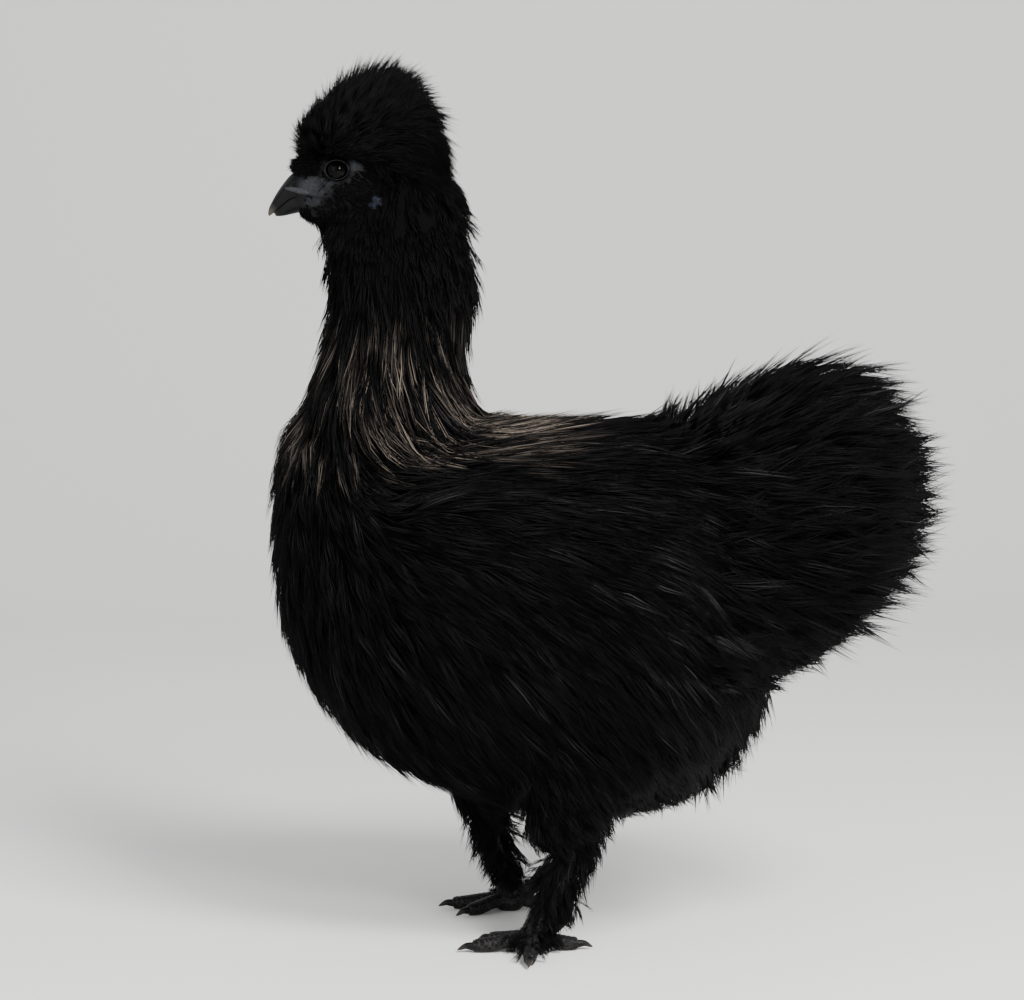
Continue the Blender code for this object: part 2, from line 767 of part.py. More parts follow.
def dress(bird):
    """Lays each part's coat over the finished cores, from the tail forward and from below up."""
    skin = tree_of(bird.values())
    for name, seed in SEEDS.items():
        random.seed(seed)
        kind = name.split("_")[0]
        side = {"left": 1, "right": -1}.get(name.split("_")[-1], 0)
        along, across = COATS[kind][6:]
        if kind == "thigh":
            rows = thigh_rows(LEGS[name.split("_")[1]])
            spots = spots_on(rows, THIGH_COAT, along, across, 0.45, 0.95, side * LEG_SPREAD)
        elif kind == "shank":
            leg = LEGS[name.split("_")[1]]
            y = side * LEG_SPREAD
            hock = Vector((leg["hock_x"], y, HOCK_Z))
            heel = Vector((leg["foot_x"], y, 5.5))
            spots = [
                hock.lerp(heel, down) + Vector((math.cos(turn), side * math.sin(turn), 0)) * SHANK_RADIUS
                for down, turn in SHANK_SPOTS
            ]
        elif kind == "wing":
            spots = spots_on(WING, 0, along, across, 0.05, 0.95, side * WING_SIDE)
        else:
            sections, _, _, inset, _ = FORMS[kind]
            spots = spots_on(sections, inset, along, across, 0.03, 0.97)
        if kind == "crest":
            spots = [spot for spot in spots if spot.x < BROW_X or spot.z > BROW_Z]
        if kind == "torso":
            flank = tree_of([bird[name]])
            outer = [Vector((x, 70 * turn, FLANK_Z)) for x in FLANK_SPOTS for turn in (1, -1)]
            spots += [flank.find_nearest(place)[0] for place in outer]
        if kind in ("tail", "thigh"):
            spots.reverse()
        others = [tree_of([obj]) for other, obj in bird.items() if other != name]
        grow_coat(bird[name], kind, spots, skin, others)


def build_bird():
    """Makes every part of the bird, each cut clear of the one that carries it, and dresses it."""
    torso = form_of("torso")
    head = make_head()
    neck = form_of("neck")
    tail = form_of("tail")
    crest = form_of("crest")
    lobes = make_lobes()
    carve(neck, space_of("torso"))
    carve(neck, space_of("head"))
    carve(tail, space_of("torso"))
    carve(crest, space_of("head"))
    carve(crest, space_of("neck"))
    for side in (1, -1):
        middle = (EYE.x, side * (EYE.y + 3), EYE.z - 0.5)
        carve(crest, egg("eye_space", middle, (7.2, 9.0, 6.4), 16, 10))
    for space in lobe_eggs(GAP):
        for obj in (neck, crest):
            copy = bpy.data.objects.new("lobe_space", space.data)
            bpy.context.scene.collection.objects.link(copy)
            carve(obj, copy)
        bpy.data.objects.remove(space, do_unlink=True)
    legs = make_legs()
    wings = [make_wing(name, side) for name, side in (("left", 1), ("right", -1))]
    beak = make_beak()
    eyes = make_eyes()
    bird = {obj.name: obj for obj in (torso, neck, tail, crest, head, *wings, *beak, *eyes, *lobes)}
    bird.update({obj.name: obj for obj, _ in legs})
    dress(bird)
    for obj in (torso, neck, tail, crest, head, *wings):
        paint(obj, "black down", "0f0f11", 0.85)
    for obj in beak:
        paint(obj, "slate horn", "2b2c2f", 0.45)
    for obj in eyes:
        paint(obj, "dark eye", "0a0706", 0.08)
    for obj in lobes:
        paint(obj, "bluish skin", "5d6a70", 0.55)
    for obj, kind in legs:
        colour = {"claw": "3a3836", "coat": "0f0f11", "skin": "232326"}[kind]
        paint(obj, kind, colour, 0.6)


clear_scene()
build_bird()
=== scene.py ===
import math
import random

import bmesh
import bpy
import numpy as np
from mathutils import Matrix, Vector, noise
from mathutils.bvhtree import BVHTree


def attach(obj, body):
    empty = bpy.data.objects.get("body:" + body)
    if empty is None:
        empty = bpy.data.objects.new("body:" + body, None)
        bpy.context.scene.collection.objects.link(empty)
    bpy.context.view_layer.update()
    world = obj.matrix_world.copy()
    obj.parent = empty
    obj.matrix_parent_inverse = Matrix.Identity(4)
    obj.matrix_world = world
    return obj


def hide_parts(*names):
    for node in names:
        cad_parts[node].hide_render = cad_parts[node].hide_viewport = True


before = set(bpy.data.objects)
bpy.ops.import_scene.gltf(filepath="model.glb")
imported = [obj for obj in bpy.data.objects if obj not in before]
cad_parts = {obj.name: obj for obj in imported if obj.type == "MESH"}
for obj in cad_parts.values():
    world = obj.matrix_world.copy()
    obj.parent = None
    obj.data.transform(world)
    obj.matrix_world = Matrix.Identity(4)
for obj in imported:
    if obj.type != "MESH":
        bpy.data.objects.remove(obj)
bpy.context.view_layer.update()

# Flesh and skin. A silkie's skin is slate black all over, thin and loose under the down. It is one
# skin from the crown to the thighs, so the body's forms are joined before they are faced. It lies
# inside the coat by the coat's depth, and shows bare only on the face and feet.
MM = 0.001
# Sections: x, height of the middle, tilt of the axis in degrees, half depth, half width
TORSO = (
    (-62, 104, 0, 15, 20),
    (-52, 114, 0, 37, 38),
    (-38, 116, 0, 60, 52),
    (-18, 115.5, 0, 74.5, 61),
    (8, 115.5, 0, 75.5, 66),
    (34, 117.5, 0, 73.5, 67),
    (58, 122, 0, 72, 65),
    (80, 129, 0, 69, 58),
    (98, 137, 0, 59, 48),
    (111, 147, 0, 45, 36),
    (119, 157, 0, 24, 20),
)
NECK = (
    (76, 164, 90, 34, 42),
    (76, 178, 90, 35, 42),
    (77, 190, 90, 35, 41),
    (77.5, 200, 90, 31.5, 35),
    (76.5, 211, 90, 30, 31),
    (73.5, 225, 90, 30.5, 29),
    (73, 239, 90, 31.5, 28.5),
    (75, 251, 90, 32, 25.5),
    (74.5, 261, 90, 30, 22.5),
    (70, 270, 90, 21.5, 19.5),
    (67, 277, 90, 12, 12),
)
TAIL = (
    (-8, 158, 0, 30, 30),
    (-22, 156, 0, 40, 36),
    (-38, 151, 0, 52, 42),
    (-56, 147, 0, 63, 47),
    (-74, 152.5, 0, 60.5, 48),
    (-90, 158, 0, 49, 42),
    (-102, 158, 0, 33, 31),
    (-109, 156, 0, 15, 14),
)
CREST = (
    (60, 262, 90, 8, 15),
    (64, 270, 90, 13, 21),
    (75, 278, 90, 24, 25.5),
    (84, 284.5, 90, 31.5, 28),
    (84.5, 291, 90, 29, 28),
    (83, 298, 90, 23, 23),
    (81, 304, 90, 14, 15),
    (80, 308, 90, 6, 6),
)
WING = (
    (-34, 122, 0, 9, 12),
    (-18, 128, 0, 19, 15),
    (10, 134, 0, 25, 17),
    (38, 139, 0, 26, 17),
    (62, 144, 0, 20, 15),
    (76, 147, 0, 10, 10),
)
HEAD = (
    (62, 263, 0, 9, 7),
    (69, 265, 0, 15, 11.5),
    (80, 267, 0, 17.5, 13.5),
    (90, 268.5, 0, 16.5, 13.2),
    (98, 269.5, 0, 13.8, 11.4),
    (104, 270.6, 0, 11.9, 8.8),
    (108.6, 269.7, 0, 9.0, 6.6),
    (110.6, 269.0, 0, 7.0, 5.2),
)
WING_SIDE = 46.0
LEG_SPREAD = 31.0
LEGS = {
    "left": {"side": 1, "hip_x": 6, "hock_x": 10.0, "foot_x": 26.0},
    "right": {"side": -1, "hip_x": 34, "hock_x": 41.0, "foot_x": 34.5},
}
# How far the skin lies inside each form's outline: the coat's depth and a little more
DEPTH = {"torso": 8.0, "neck": 6.5, "tail": 13.5, "crest": 8.5, "wing": 3.0, "thigh": 4.0}
SKIN_VOXEL = 2.0


def on_curve(rows, places):
    """Rows of a table on a smooth curve through all, at places from 0 at the first to 1 at the last."""
    rows = np.array(rows, float)
    spot = np.clip(places, 0, 1) * (len(rows) - 1)
    i = np.minimum(spot.astype(int), len(rows) - 2)
    f = (spot - i)[:, None]
    a, b, c, d = (rows[np.clip(i + k, 0, len(rows) - 1)] for k in (-1, 0, 1, 2))
    return b + 0.5 * f * (c - a + f * (2 * a - 5 * b + 4 * c - d + f * (3 * (b - c) + d - a)))


def ring_grid(rows, rings, sides, inset=0.0, side=0.0):
    """Rings of points round a form that runs through its sections, drawn in by the inset."""
    rows = np.array(rows, float)
    for end, nearby in ((0, 1), (-1, -2)):
        axis = rows[end, :2] - rows[nearby, :2]
        length = math.hypot(*axis)
        rows[end, :2] -= axis / length * min(inset, 0.8 * length)
    x, z, tilt, deep, wide = on_curve(rows, np.linspace(0, 1, rings)).T[..., None]
    turn = np.arange(sides) * math.tau / sides
    lean = np.radians(tilt)
    up = np.cos(turn) * np.maximum(deep - inset, 0.4 * deep)
    across = side + np.sin(turn) * np.maximum(wide - inset, 0.4 * wide)
    return np.stack([x - np.sin(lean) * up, across, z + np.cos(lean) * up], axis=-1)


def tube_grid(route, radii, rings, sides, squash=1.0):
    """Rings of points round a smooth bar along a route, with a radius at each of its points."""
    table = on_curve([(*place, radius) for place, radius in zip(route, radii)], np.linspace(0, 1, rings))
    places, radius = table[:, :3], table[:, 3:, None]
    ahead = np.gradient(places, axis=0)
    across = np.cross(ahead, (0, 0, 1.0))
    across /= np.linalg.norm(across, axis=1, keepdims=True)
    above = np.cross(across, ahead)
    above /= np.linalg.norm(above, axis=1, keepdims=True)
    turn = (np.arange(sides) * math.tau / sides)[:, None]
    spokes = np.cos(turn) * above[:, None] * squash + np.sin(turn) * across[:, None]
    return places[:, None] + radius * spokes


def shell(grid, tips=0.35):
    """Points and faces of a grid of rings, closed by a point at each end."""
    rings, sides = grid.shape[:2]
    i = np.arange(rings - 1)[:, None] * sides
    j = np.arange(sides)
    k = (j + 1) % sides
    faces = np.stack([i + j, i + k, i + sides + k, i + sides + j], axis=-1).reshape(-1, 4).tolist()
    points = list(grid.reshape(-1, 3))
    for ring, nearby in ((0, 1), (rings - 1, rings - 2)):
        middle = grid[ring].mean(axis=0)
        out = middle - grid[nearby].mean(axis=0)
        out /= np.linalg.norm(out) + 1e-9
        points.append(middle + out * tips * np.linalg.norm(grid[ring, 0] - middle))
        first = ring * sides
        faces += [(first + a, first + b, len(points) - 1) for a, b in zip(j.tolist(), k.tolist())]
    return np.array(points), faces


def made_solid(name, shells, kinds=None):
    """One smooth mesh object from closed shells in millimetres, each with its material number."""
    shape = bmesh.new()
    for number, (points, faces) in enumerate(shells):
        corners = [shape.verts.new(point * MM) for point in points]
        made = [shape.faces.new([corners[i] for i in face]) for face in faces]
        bmesh.ops.recalc_face_normals(shape, faces=made)
        for face in made:
            face.smooth = True
            face.material_index = kinds[number] if kinds else 0
    mesh = bpy.data.meshes.new(name)
    shape.to_mesh(mesh)
    shape.free()
    obj = bpy.data.objects.new(name, mesh)
    bpy.context.scene.collection.objects.link(obj)
    return obj


def ease(value, low, high):
    """A share from 0 at low to 1 at high, easing at both."""
    share = np.clip((value - low) / (high - low), 0, 1)
    return share * share * (3 - 2 * share)


def thigh_rows(leg):
    """A thigh's sections, from inside the belly down to the hock."""
    front = 5 if leg["side"] > 0 else 1
    return (
        (leg["hip_x"] - 2, 84, -90, 26, 17),
        (leg["hip_x"] - 2, 66, -90, 26, 20),
        (leg["hock_x"] + front * 0.6 - 1, 52, -90, 18 + front * 0.3, 17),
        (leg["hock_x"] + front + 1, 40, -85, 11 + front * 0.6, 12),
        (leg["hock_x"] + 1, 31, -80, 7, 7),
    )


def joined_flesh():
    """The body's forms made one surface, smoothed where they meet."""
    forms = [
        ring_grid(TORSO, 60, 72, DEPTH["torso"]),
        ring_grid(NECK, 50, 60, DEPTH["neck"]),
        ring_grid(TAIL, 40, 60, DEPTH["tail"]),
        ring_grid(CREST, 32, 48, DEPTH["crest"]),
        ring_grid(HEAD[:-3], 24, 40, 1.0),
    ]
    for leg in LEGS.values():
        side = leg["side"]
        forms.append(ring_grid(WING, 40, 40, DEPTH["wing"], side * WING_SIDE))
        forms.append(ring_grid(thigh_rows(leg), 30, 36, DEPTH["thigh"], side * LEG_SPREAD))
    flesh = made_solid("flesh", [shell(form) for form in forms])
    remesh = flesh.modifiers.new("Join", "REMESH")
    remesh.mode = "VOXEL"
    remesh.voxel_size = SKIN_VOXEL * MM
    relax = flesh.modifiers.new("Relax", "SMOOTH")
    relax.factor = 0.5
    relax.iterations = 8
    graph = bpy.context.evaluated_depsgraph_get()
    mesh = bpy.data.meshes.new_from_object(flesh.evaluated_get(graph))
    bpy.data.objects.remove(flesh, do_unlink=True)
    points = np.array([vertex.co for vertex in mesh.vertices]) / MM
    faces = [tuple(face.vertices) for face in mesh.polygons]
    return points, faces


# The head is finer than the rest: its lids, brow, lores and the line of its mouth are in the mesh
EYE = np.array((95.0, 9.6, 275.2))
EYE_RADIUS = 4.6
HEAD_RINGS = 130
HEAD_SIDES = 150
# Rises and hollows of the face: x, z, reach along x, reach along z and height
FACE_FORMS = (
    (96.5, 281.2, 6.5, 1.7, 0.9),
    (103.0, 271.5, 3.6, 2.6, -0.7),
    (101.5, 263.2, 3.6, 2.0, 0.8),
    (88.6, 277.2, 3.0, 2.6, 1.7),
    (86.0, 266.0, 6.0, 4.0, 0.7),
)
MOUTH_LINE = ((110.0, 266.1), (105.0, 265.9), (100.5, 264.6))
# Where the face is bare: x, z, reach along x, reach along z and how pale the skin is
BARE = (
    (103.2, 269.8, 5.8, 3.5, 0.9),
    (104.2, 264.4, 3.0, 1.6, 0.6),
    (88.9, 277.2, 2.7, 2.3, 0.8),
    (95.0, 275.2, 4.7, 4.2, 0.12),
    (81.0, 263.4, 1.6, 1.9, 0.0),
)


def face_grid():
    """The head's rings, pressed out and in where the bird's face is."""
    grid = ring_grid(HEAD, HEAD_RINGS, HEAD_SIDES)
    x, y, z = np.moveaxis(grid, -1, 0)
    out = np.stack([np.zeros_like(x), y / 13.0, (z - 268.0) / 17.0], axis=-1)
    out /= np.linalg.norm(out, axis=-1, keepdims=True) + 1e-9
    flank = np.abs(out[..., 1])
    push = np.zeros_like(x)
    for form_x, form_z, reach_x, reach_z, height in FACE_FORMS:
        push += height * np.exp(-(((x - form_x) / reach_x) ** 2) - ((z - form_z) / reach_z) ** 2) * flank
    from_eye = np.hypot(x - EYE[0], (z - EYE[2]) / 0.92)
    push += (1.1 * np.exp(-(((from_eye - 5.6) / 1.9) ** 2)) - 5.0 * ease(from_eye, 4.4, 3.2)) * (flank > 0.3)
    for (x0, z0), (x1, z1) in zip(MOUTH_LINE, MOUTH_LINE[1:]):
        along = np.clip(((x - x0) * (x1 - x0) + (z - z0) * (z1 - z0)) / ((x1 - x0) ** 2 + (z1 - z0) ** 2), 0, 1)
        off = np.hypot(x - x0 - along * (x1 - x0), z - z0 - along * (z1 - z0))
        push -= 0.55 * np.exp(-((off / 0.5) ** 2)) * flank
    return grid + out * push[..., None]


def from_bare(points):
    """How far each point is from each bare patch, where 1 is the patch's edge."""
    return [np.hypot((points[:, 0] - x) / wide, (points[:, 2] - z) / high) for x, z, wide, high, _ in BARE]


def bareness(points):
    """How bare and pale the skin is at each point, fading out round each patch."""
    shares = [row[4] * ease(far, 1.4, 0.7) for row, far in zip(BARE, from_bare(points))]
    return np.max(shares, axis=0)


def lid_shells():
    """The ring of each eye's lids, a little drawn out at its corners and thicker above."""
    shells = []
    for side in (1, -1):
        middle = EYE * (1, side, 1)
        out = np.array((0.10, side, 0.06))
        out /= np.linalg.norm(out)
        turn = np.linspace(0, math.tau, 64, endpoint=False)
        narrow = np.where(np.sin(turn) > 0, 0.78, 0.84)
        spoke = np.stack([np.cos(turn), np.zeros(64), narrow * np.sin(turn)], axis=-1)
        spoke -= out * (spoke @ out)[:, None]
        fold = 1 + 0.14 * np.sin(turn * 13 + 1.0) * np.sin(turn * 5)
        centre = middle + spoke * (EYE_RADIUS - 0.35) + out * 2.75
        bend = (np.arange(10) * math.tau / 10)[None, :, None]
        thick = (0.36 + 0.2 * np.maximum(np.sin(turn), 0)) * fold
        rim = np.cos(bend) * spoke[:, None] + 1.5 * np.sin(bend) * out
        grid = centre[:, None] + thick[:, None, None] * rim
        rings, sides = grid.shape[:2]
        faces = []
        for i in range(rings):
            for j in range(sides):
                ahead = (i + 1) % rings
                k = (j + 1) % sides
                faces.append((i * sides + j, i * sides + k, ahead * sides + k, ahead * sides + j))
        shells.append((grid.reshape(-1, 3), faces))
    return shells


def flap_shells():
    """The soft flap of skin over each nostril, lying along the side of the beak's root."""
    shells = []
    for side in (1, -1):
        route = ((104.0, 7.6, 267.5), (108.5, 6.25, 268.2), (111.5, 5.0, 268.8), (114.2, 3.95, 269.2))
        route = [(x, side * y, z) for x, y, z in route]
        shells.append(shell(tube_grid(route, (0.6, 0.6, 0.5, 0.25), 30, 24, 1.7), 0.5))
    return shells


# Shanks and toes: slate-black leather with rows of scutes, four toes and the silkie's fifth, raised.
HOCK_Z = 37.0
SHANK_RADIUS = 4.3
SOLE_RISE = 4.5
TOE_RADIUS = 2.45
TOES = (
    (-172, 15.5, 0.0),
    (-34, 18.0, 0.0),
    (4, 21.0, 0.0),
    (86, 20.0, 0.0),
    (-158, 12.0, 13.0),
)


def toe_route(leg, turn, length, rise):
    """A toe's line from the middle of the foot to its tip."""
    y = leg["side"] * LEG_SPREAD
    heading = np.array((math.cos(math.radians(turn)), leg["side"] * math.sin(math.radians(turn)), 0))
    hub = np.array((leg["foot_x"] - 0.15 * rise, y, SOLE_RISE + 0.1 * rise))
    lifts = ((0.0, 0.0), (0.4, 0.2 * rise - 0.6), (0.75, 0.55 * rise - 1.9), (1.0, rise - 2.2))
    return np.array([hub + heading * length * share + (0, 0, lift) for share, lift in lifts])


def scaled(grid, pitch, raised):
    """Rings with a scute's step at each pitch along the upper side."""
    middles = grid.mean(axis=1)
    run = np.concatenate([[0], np.cumsum(np.linalg.norm(np.diff(middles, axis=0), axis=1))])
    step = 1 - (run / pitch) % 1
    spokes = grid - middles[:, None]
    upper = ease(np.cos(np.arange(grid.shape[1]) * math.tau / grid.shape[1]), -0.2, 0.5)
    return middles[:, None] + spokes * (1 + raised * step[:, None] * upper[None])[..., None]


def leg_shells():
    """Both shanks and feet, flat underneath where they rest on the floor."""
    shells = []
    for leg in LEGS.values():
        y = leg["side"] * LEG_SPREAD
        hip = (leg["hock_x"] - 4, y, HOCK_Z + 14)
        knee = 0.35 * (leg["foot_x"] - leg["hock_x"])
        route = (hip, (leg["hock_x"] + 1.5, y, HOCK_Z), (leg["foot_x"] - knee, y, 18), (leg["foot_x"], y, 5.5))
        radii = (6.5, 5.2, SHANK_RADIUS, SHANK_RADIUS * 1.05)
        shells.append(shell(scaled(tube_grid(route, radii, 150, 40), 3.0, 0.09)))
        ball = [(leg["foot_x"] + 6.2 * share, y, 3.9) for share in (-0.98, -0.6, 0.0, 0.6, 0.98)]
        shells.append(shell(tube_grid(ball, (1.6, 4.6, 5.4, 4.6, 1.6), 24, 32, 0.8)))
        for turn, length, rise in TOES:
            route = toe_route(leg, turn, length, rise)
            radii = [TOE_RADIUS * share for share in (1.2, 1.0, 1.02, 0.84)]
            shells.append(shell(scaled(tube_grid(route, radii, 90, 24), 1.9, 0.12), 0.6))
    for points, _ in shells:
        points[:, 2] = np.maximum(points[:, 2], 0.0)
    return shells


def colour(code):
    """Linear colour of an sRGB hex value."""
    channels = [int(code[i : i + 2], 16) / 255 for i in (1, 3, 5)]
    return (*[c / 12.92 if c <= 0.04045 else ((c + 0.055) / 1.055) ** 2.4 for c in channels], 1)


def add_node(tree, kind, settings=None, **links):
    """A node with its settings and input values, and links into its inputs by number or name."""
    made = tree.nodes.new(kind)
    for key, value in (settings or {}).items():
        if isinstance(key, str) and hasattr(made, key):
            setattr(made, key, value)
        else:
            made.inputs[key].default_value = value
    for key, source in links.items():
        tree.links.new(source, made.inputs[int(key[1:]) if key[1:].isdigit() else key.replace("_", " ")])
    return made


def start_material(name, roughness, specular):
    """A new material, its tree and its shader, with the values that are the same all over."""
    material = bpy.data.materials.new(name)
    material.use_nodes = True
    tree = material.node_tree
    shader = tree.nodes["Principled BSDF"]
    shader.inputs["Roughness"].default_value = roughness
    shader.inputs["Specular IOR Level"].default_value = specular
    return material, tree, shader


def ramp(tree, source, stops):
    """A colour ramp of hex colours at their places."""
    made = tree.nodes.new("ShaderNodeValToRGB")
    while len(made.color_ramp.elements) < len(stops):
        made.color_ramp.elements.new(0.5)
    for element, (place, code) in zip(made.color_ramp.elements, stops):
        element.position = place
        element.color = colour(code)
    tree.links.new(source, made.inputs[0])
    return made.outputs[0]


def leathery(name, dark, light, grain_mm, depth, roughness, specular=0.4, bare=None):
    """Bare skin: fine wrinkled grain with paler worn ridges. The grain is a real size in millimetres."""
    material, tree, shader = start_material(name, roughness, specular)
    place = add_node(tree, "ShaderNodeTexCoord").outputs["Object"]
    settings = {"Scale": 1 / (grain_mm * MM), "Detail": 3.0, "Roughness": 0.6}
    grain = add_node(tree, "ShaderNodeTexNoise", settings, Vector=place)
    cells = add_node(tree, "ShaderNodeTexVoronoi", {"Scale": 0.8 / (grain_mm * MM)}, Vector=place)
    tone = ramp(tree, grain.outputs[0], ((0.3, dark), (0.75, light)))
    if bare:
        share = add_node(tree, "ShaderNodeAttribute", {"attribute_name": bare}).outputs["Fac"]
        mixed = add_node(tree, "ShaderNodeMix", {"data_type": "RGBA", 6: colour("#030304")}, i0=share, i7=tone)
        tone = mixed.outputs[2]
    tree.links.new(tone, shader.inputs["Base Color"])
    height = add_node(tree, "ShaderNodeMath", {"operation": "ADD"}, i0=grain.outputs[0], i1=cells.outputs[0])
    bump = add_node(tree, "ShaderNodeBump", {"Strength": 0.5, "Distance": depth * MM}, Height=height.outputs[0])
    tree.links.new(bump.outputs[0], shader.inputs["Normal"])
    return material


def scaly(name, edge, middle, scute_mm, depth):
    """Horny scutes: raised dark cells of a real size, paler and flaking at their edges."""
    material, tree, shader = start_material(name, 0.55, 0.15)
    place = add_node(tree, "ShaderNodeTexCoord").outputs["Object"]
    settings = {"feature": "DISTANCE_TO_EDGE", "Scale": 1 / (scute_mm * MM)}
    cells = add_node(tree, "ShaderNodeTexVoronoi", settings, Vector=place).outputs["Distance"]
    tree.links.new(ramp(tree, cells, ((0.0, edge), (0.1, middle), (1.0, "#060607"))), shader.inputs["Base Color"])
    bump = add_node(tree, "ShaderNodeBump", {"Strength": 0.6, "Distance": depth * MM}, Height=cells)
    tree.links.new(bump.outputs[0], shader.inputs["Normal"])
    return material


flesh = joined_flesh()
head = shell(face_grid(), 0.1)
lids = lid_shells()
flaps = flap_shells()
legs = leg_shells()
skin = made_solid(
    "skin", [flesh, head, *lids, *flaps, *legs], [0, 1, 1, 1, 3, 3] + [2] * len(legs)
)
skin.data.materials.append(leathery("black body skin", "#020202", "#050506", 1.2, 0.2, 0.9, 0.05))
skin.data.materials.append(leathery("slate face skin", "#141518", "#323337", 0.6, 0.14, 0.6, 0.15, "bare"))
skin.data.materials.append(scaly("black shank leather", "#2a2725", "#08080a", 1.7, 0.25))
skin.data.materials.append(leathery("grey nostril skin", "#1b1c1f", "#3a3b40", 0.5, 0.1, 0.6, 0.18))
bare = skin.data.attributes.new("bare", "FLOAT", "POINT")
bare.data.foreach_set("value", bareness(np.array([vertex.co for vertex in skin.data.vertices]) / MM))
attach(skin, "root")
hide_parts("head", "torso", "neck")
for name in LEGS:
    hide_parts("shank_" + name, "foot_" + name)

# Scutes. Horny plates lie like roof tiles down the front of each shank and along the top of every toe,
# each over the root of the next. They are the same black leather, only thicker and a little polished.
PLATE_PITCH = 1.75
PLATE_LENGTH = 1.3
PLATE_THICKNESS = 0.55
PLATE_TILT = math.radians(10)


def plates_along(route, radii, facing):
    """Where each plate sits along a toe or shank, which ways it faces and half its width."""
    line = on_curve([(*place, radius) for place, radius in zip(route, radii)], np.linspace(0, 1, 80))
    run = np.concatenate([[0], np.cumsum(np.linalg.norm(np.diff(line[:, :3], axis=0), axis=1))])
    spots = np.arange(2.0, run[-1] - 0.6, PLATE_PITCH)
    middles = np.stack([np.interp(spots, run, line[:, k]) for k in range(4)], axis=1)
    ahead = np.gradient(middles[:, :3], axis=0)
    ahead /= np.linalg.norm(ahead, axis=1, keepdims=True)
    out = facing - ahead * (ahead @ facing)[:, None]
    out /= np.linalg.norm(out, axis=1, keepdims=True)
    places = middles[:, :3] + out * middles[:, 3:] * 0.86
    tilted = ahead * math.cos(PLATE_TILT) + out * math.sin(PLATE_TILT)
    return np.hstack([places, tilted, out, 0.8 * middles[:, 3:]])


def plate_tree(finish):
    """Geometry nodes that set a rounded plate on each point, turned and widened by its attributes."""
    tree = bpy.data.node_groups.new("scute rows", "GeometryNodeTree")
    for label, kind, way in (
        ("Points", "NodeSocketGeometry", "INPUT"),
        ("Plate length", "NodeSocketFloat", "INPUT"),
        ("Plate thickness", "NodeSocketFloat", "INPUT"),
        ("Plates", "NodeSocketGeometry", "OUTPUT"),
    ):
        tree.interface.new_socket(label, in_out=way, socket_type=kind)
    given = add_node(tree, "NodeGroupInput").outputs
    ways = {}
    for label, kind in (("along", "FLOAT_VECTOR"), ("out", "FLOAT_VECTOR"), ("half_width", "FLOAT")):
        ways[label] = add_node(tree, "GeometryNodeInputNamedAttribute", {"data_type": kind, "Name": label}).outputs[0]
    plate = add_node(tree, "GeometryNodeMeshUVSphere", {"Segments": 10, "Rings": 6, "Radius": 1.0})
    plate = add_node(tree, "GeometryNodeSetShadeSmooth", i0=plate.outputs[0])
    turn = add_node(tree, "FunctionNodeAlignRotationToVector", {"axis": "X"}, Vector=ways["along"])
    settings = {"axis": "Z", "pivot_axis": "X"}
    turn = add_node(tree, "FunctionNodeAlignRotationToVector", settings, Rotation=turn.outputs[0], Vector=ways["out"])
    size = add_node(tree, "ShaderNodeCombineXYZ", i0=given[1], i1=ways["half_width"], i2=given[2])
    plates = add_node(
        tree, "GeometryNodeInstanceOnPoints",
        Points=given[0], Instance=plate.outputs[0], Rotation=turn.outputs[0], Scale=size.outputs[0]
    )
    real = add_node(tree, "GeometryNodeRealizeInstances", i0=plates.outputs[0])
    done = add_node(tree, "GeometryNodeSetMaterial", {"Material": finish}, i0=real.outputs[0])
    add_node(tree, "NodeGroupOutput", i0=done.outputs[0])
    return tree


rows = []
for leg in LEGS.values():
    y = leg["side"] * LEG_SPREAD
    slant = leg["foot_x"] - leg["hock_x"]
    shin = ((leg["hock_x"] + 3, y, HOCK_Z - 4), (leg["foot_x"] - 0.35 * slant, y, 18), (leg["foot_x"], y, 7))
    rows.append(plates_along(shin, [SHANK_RADIUS] * 3, np.array((1, 0, 0.25))))
    for turn, length, rise in TOES:
        radii = [TOE_RADIUS * share for share in (1.2, 1.0, 1.02, 0.84)]
        rows.append(plates_along(toe_route(leg, turn, length, rise), radii, np.array((0, 0, 1.0))))
rows = np.vstack(rows)
points = bpy.data.meshes.new("scute points")
points.from_pydata(rows[:, :3] * MM, [], [])
for label, kind, key, value in (
    ("along", "FLOAT_VECTOR", "vector", rows[:, 3:6]),
    ("out", "FLOAT_VECTOR", "vector", rows[:, 6:9]),
    ("half_width", "FLOAT", "value", rows[:, 9] * MM),
):
    points.attributes.new(label, kind, "POINT").data.foreach_set(key, value.ravel())
source = bpy.data.objects.new("scute rows", points)
bpy.context.scene.collection.objects.link(source)
nodes = source.modifiers.new("Plates", "NODES")
nodes.node_group = plate_tree(scaly("polished scute leather", "#2a2725", "#0b0b0d", 1.2, 0.1))
sizes = {"Plate length": PLATE_LENGTH * MM, "Plate thickness": PLATE_THICKNESS * MM}
for socket in nodes.node_group.interface.items_tree:
    if socket.name in sizes:
        nodes[socket.identifier] = sizes[socket.name]
graph = bpy.context.evaluated_depsgraph_get()
scutes = bpy.data.objects.new("toe_scutes", bpy.data.meshes.new_from_object(source.evaluated_get(graph)))
bpy.data.objects.remove(source, do_unlink=True)
bpy.context.scene.collection.objects.link(scutes)
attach(scutes, "root")
for name in LEGS:
    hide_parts("shank_" + name, "foot_" + name)

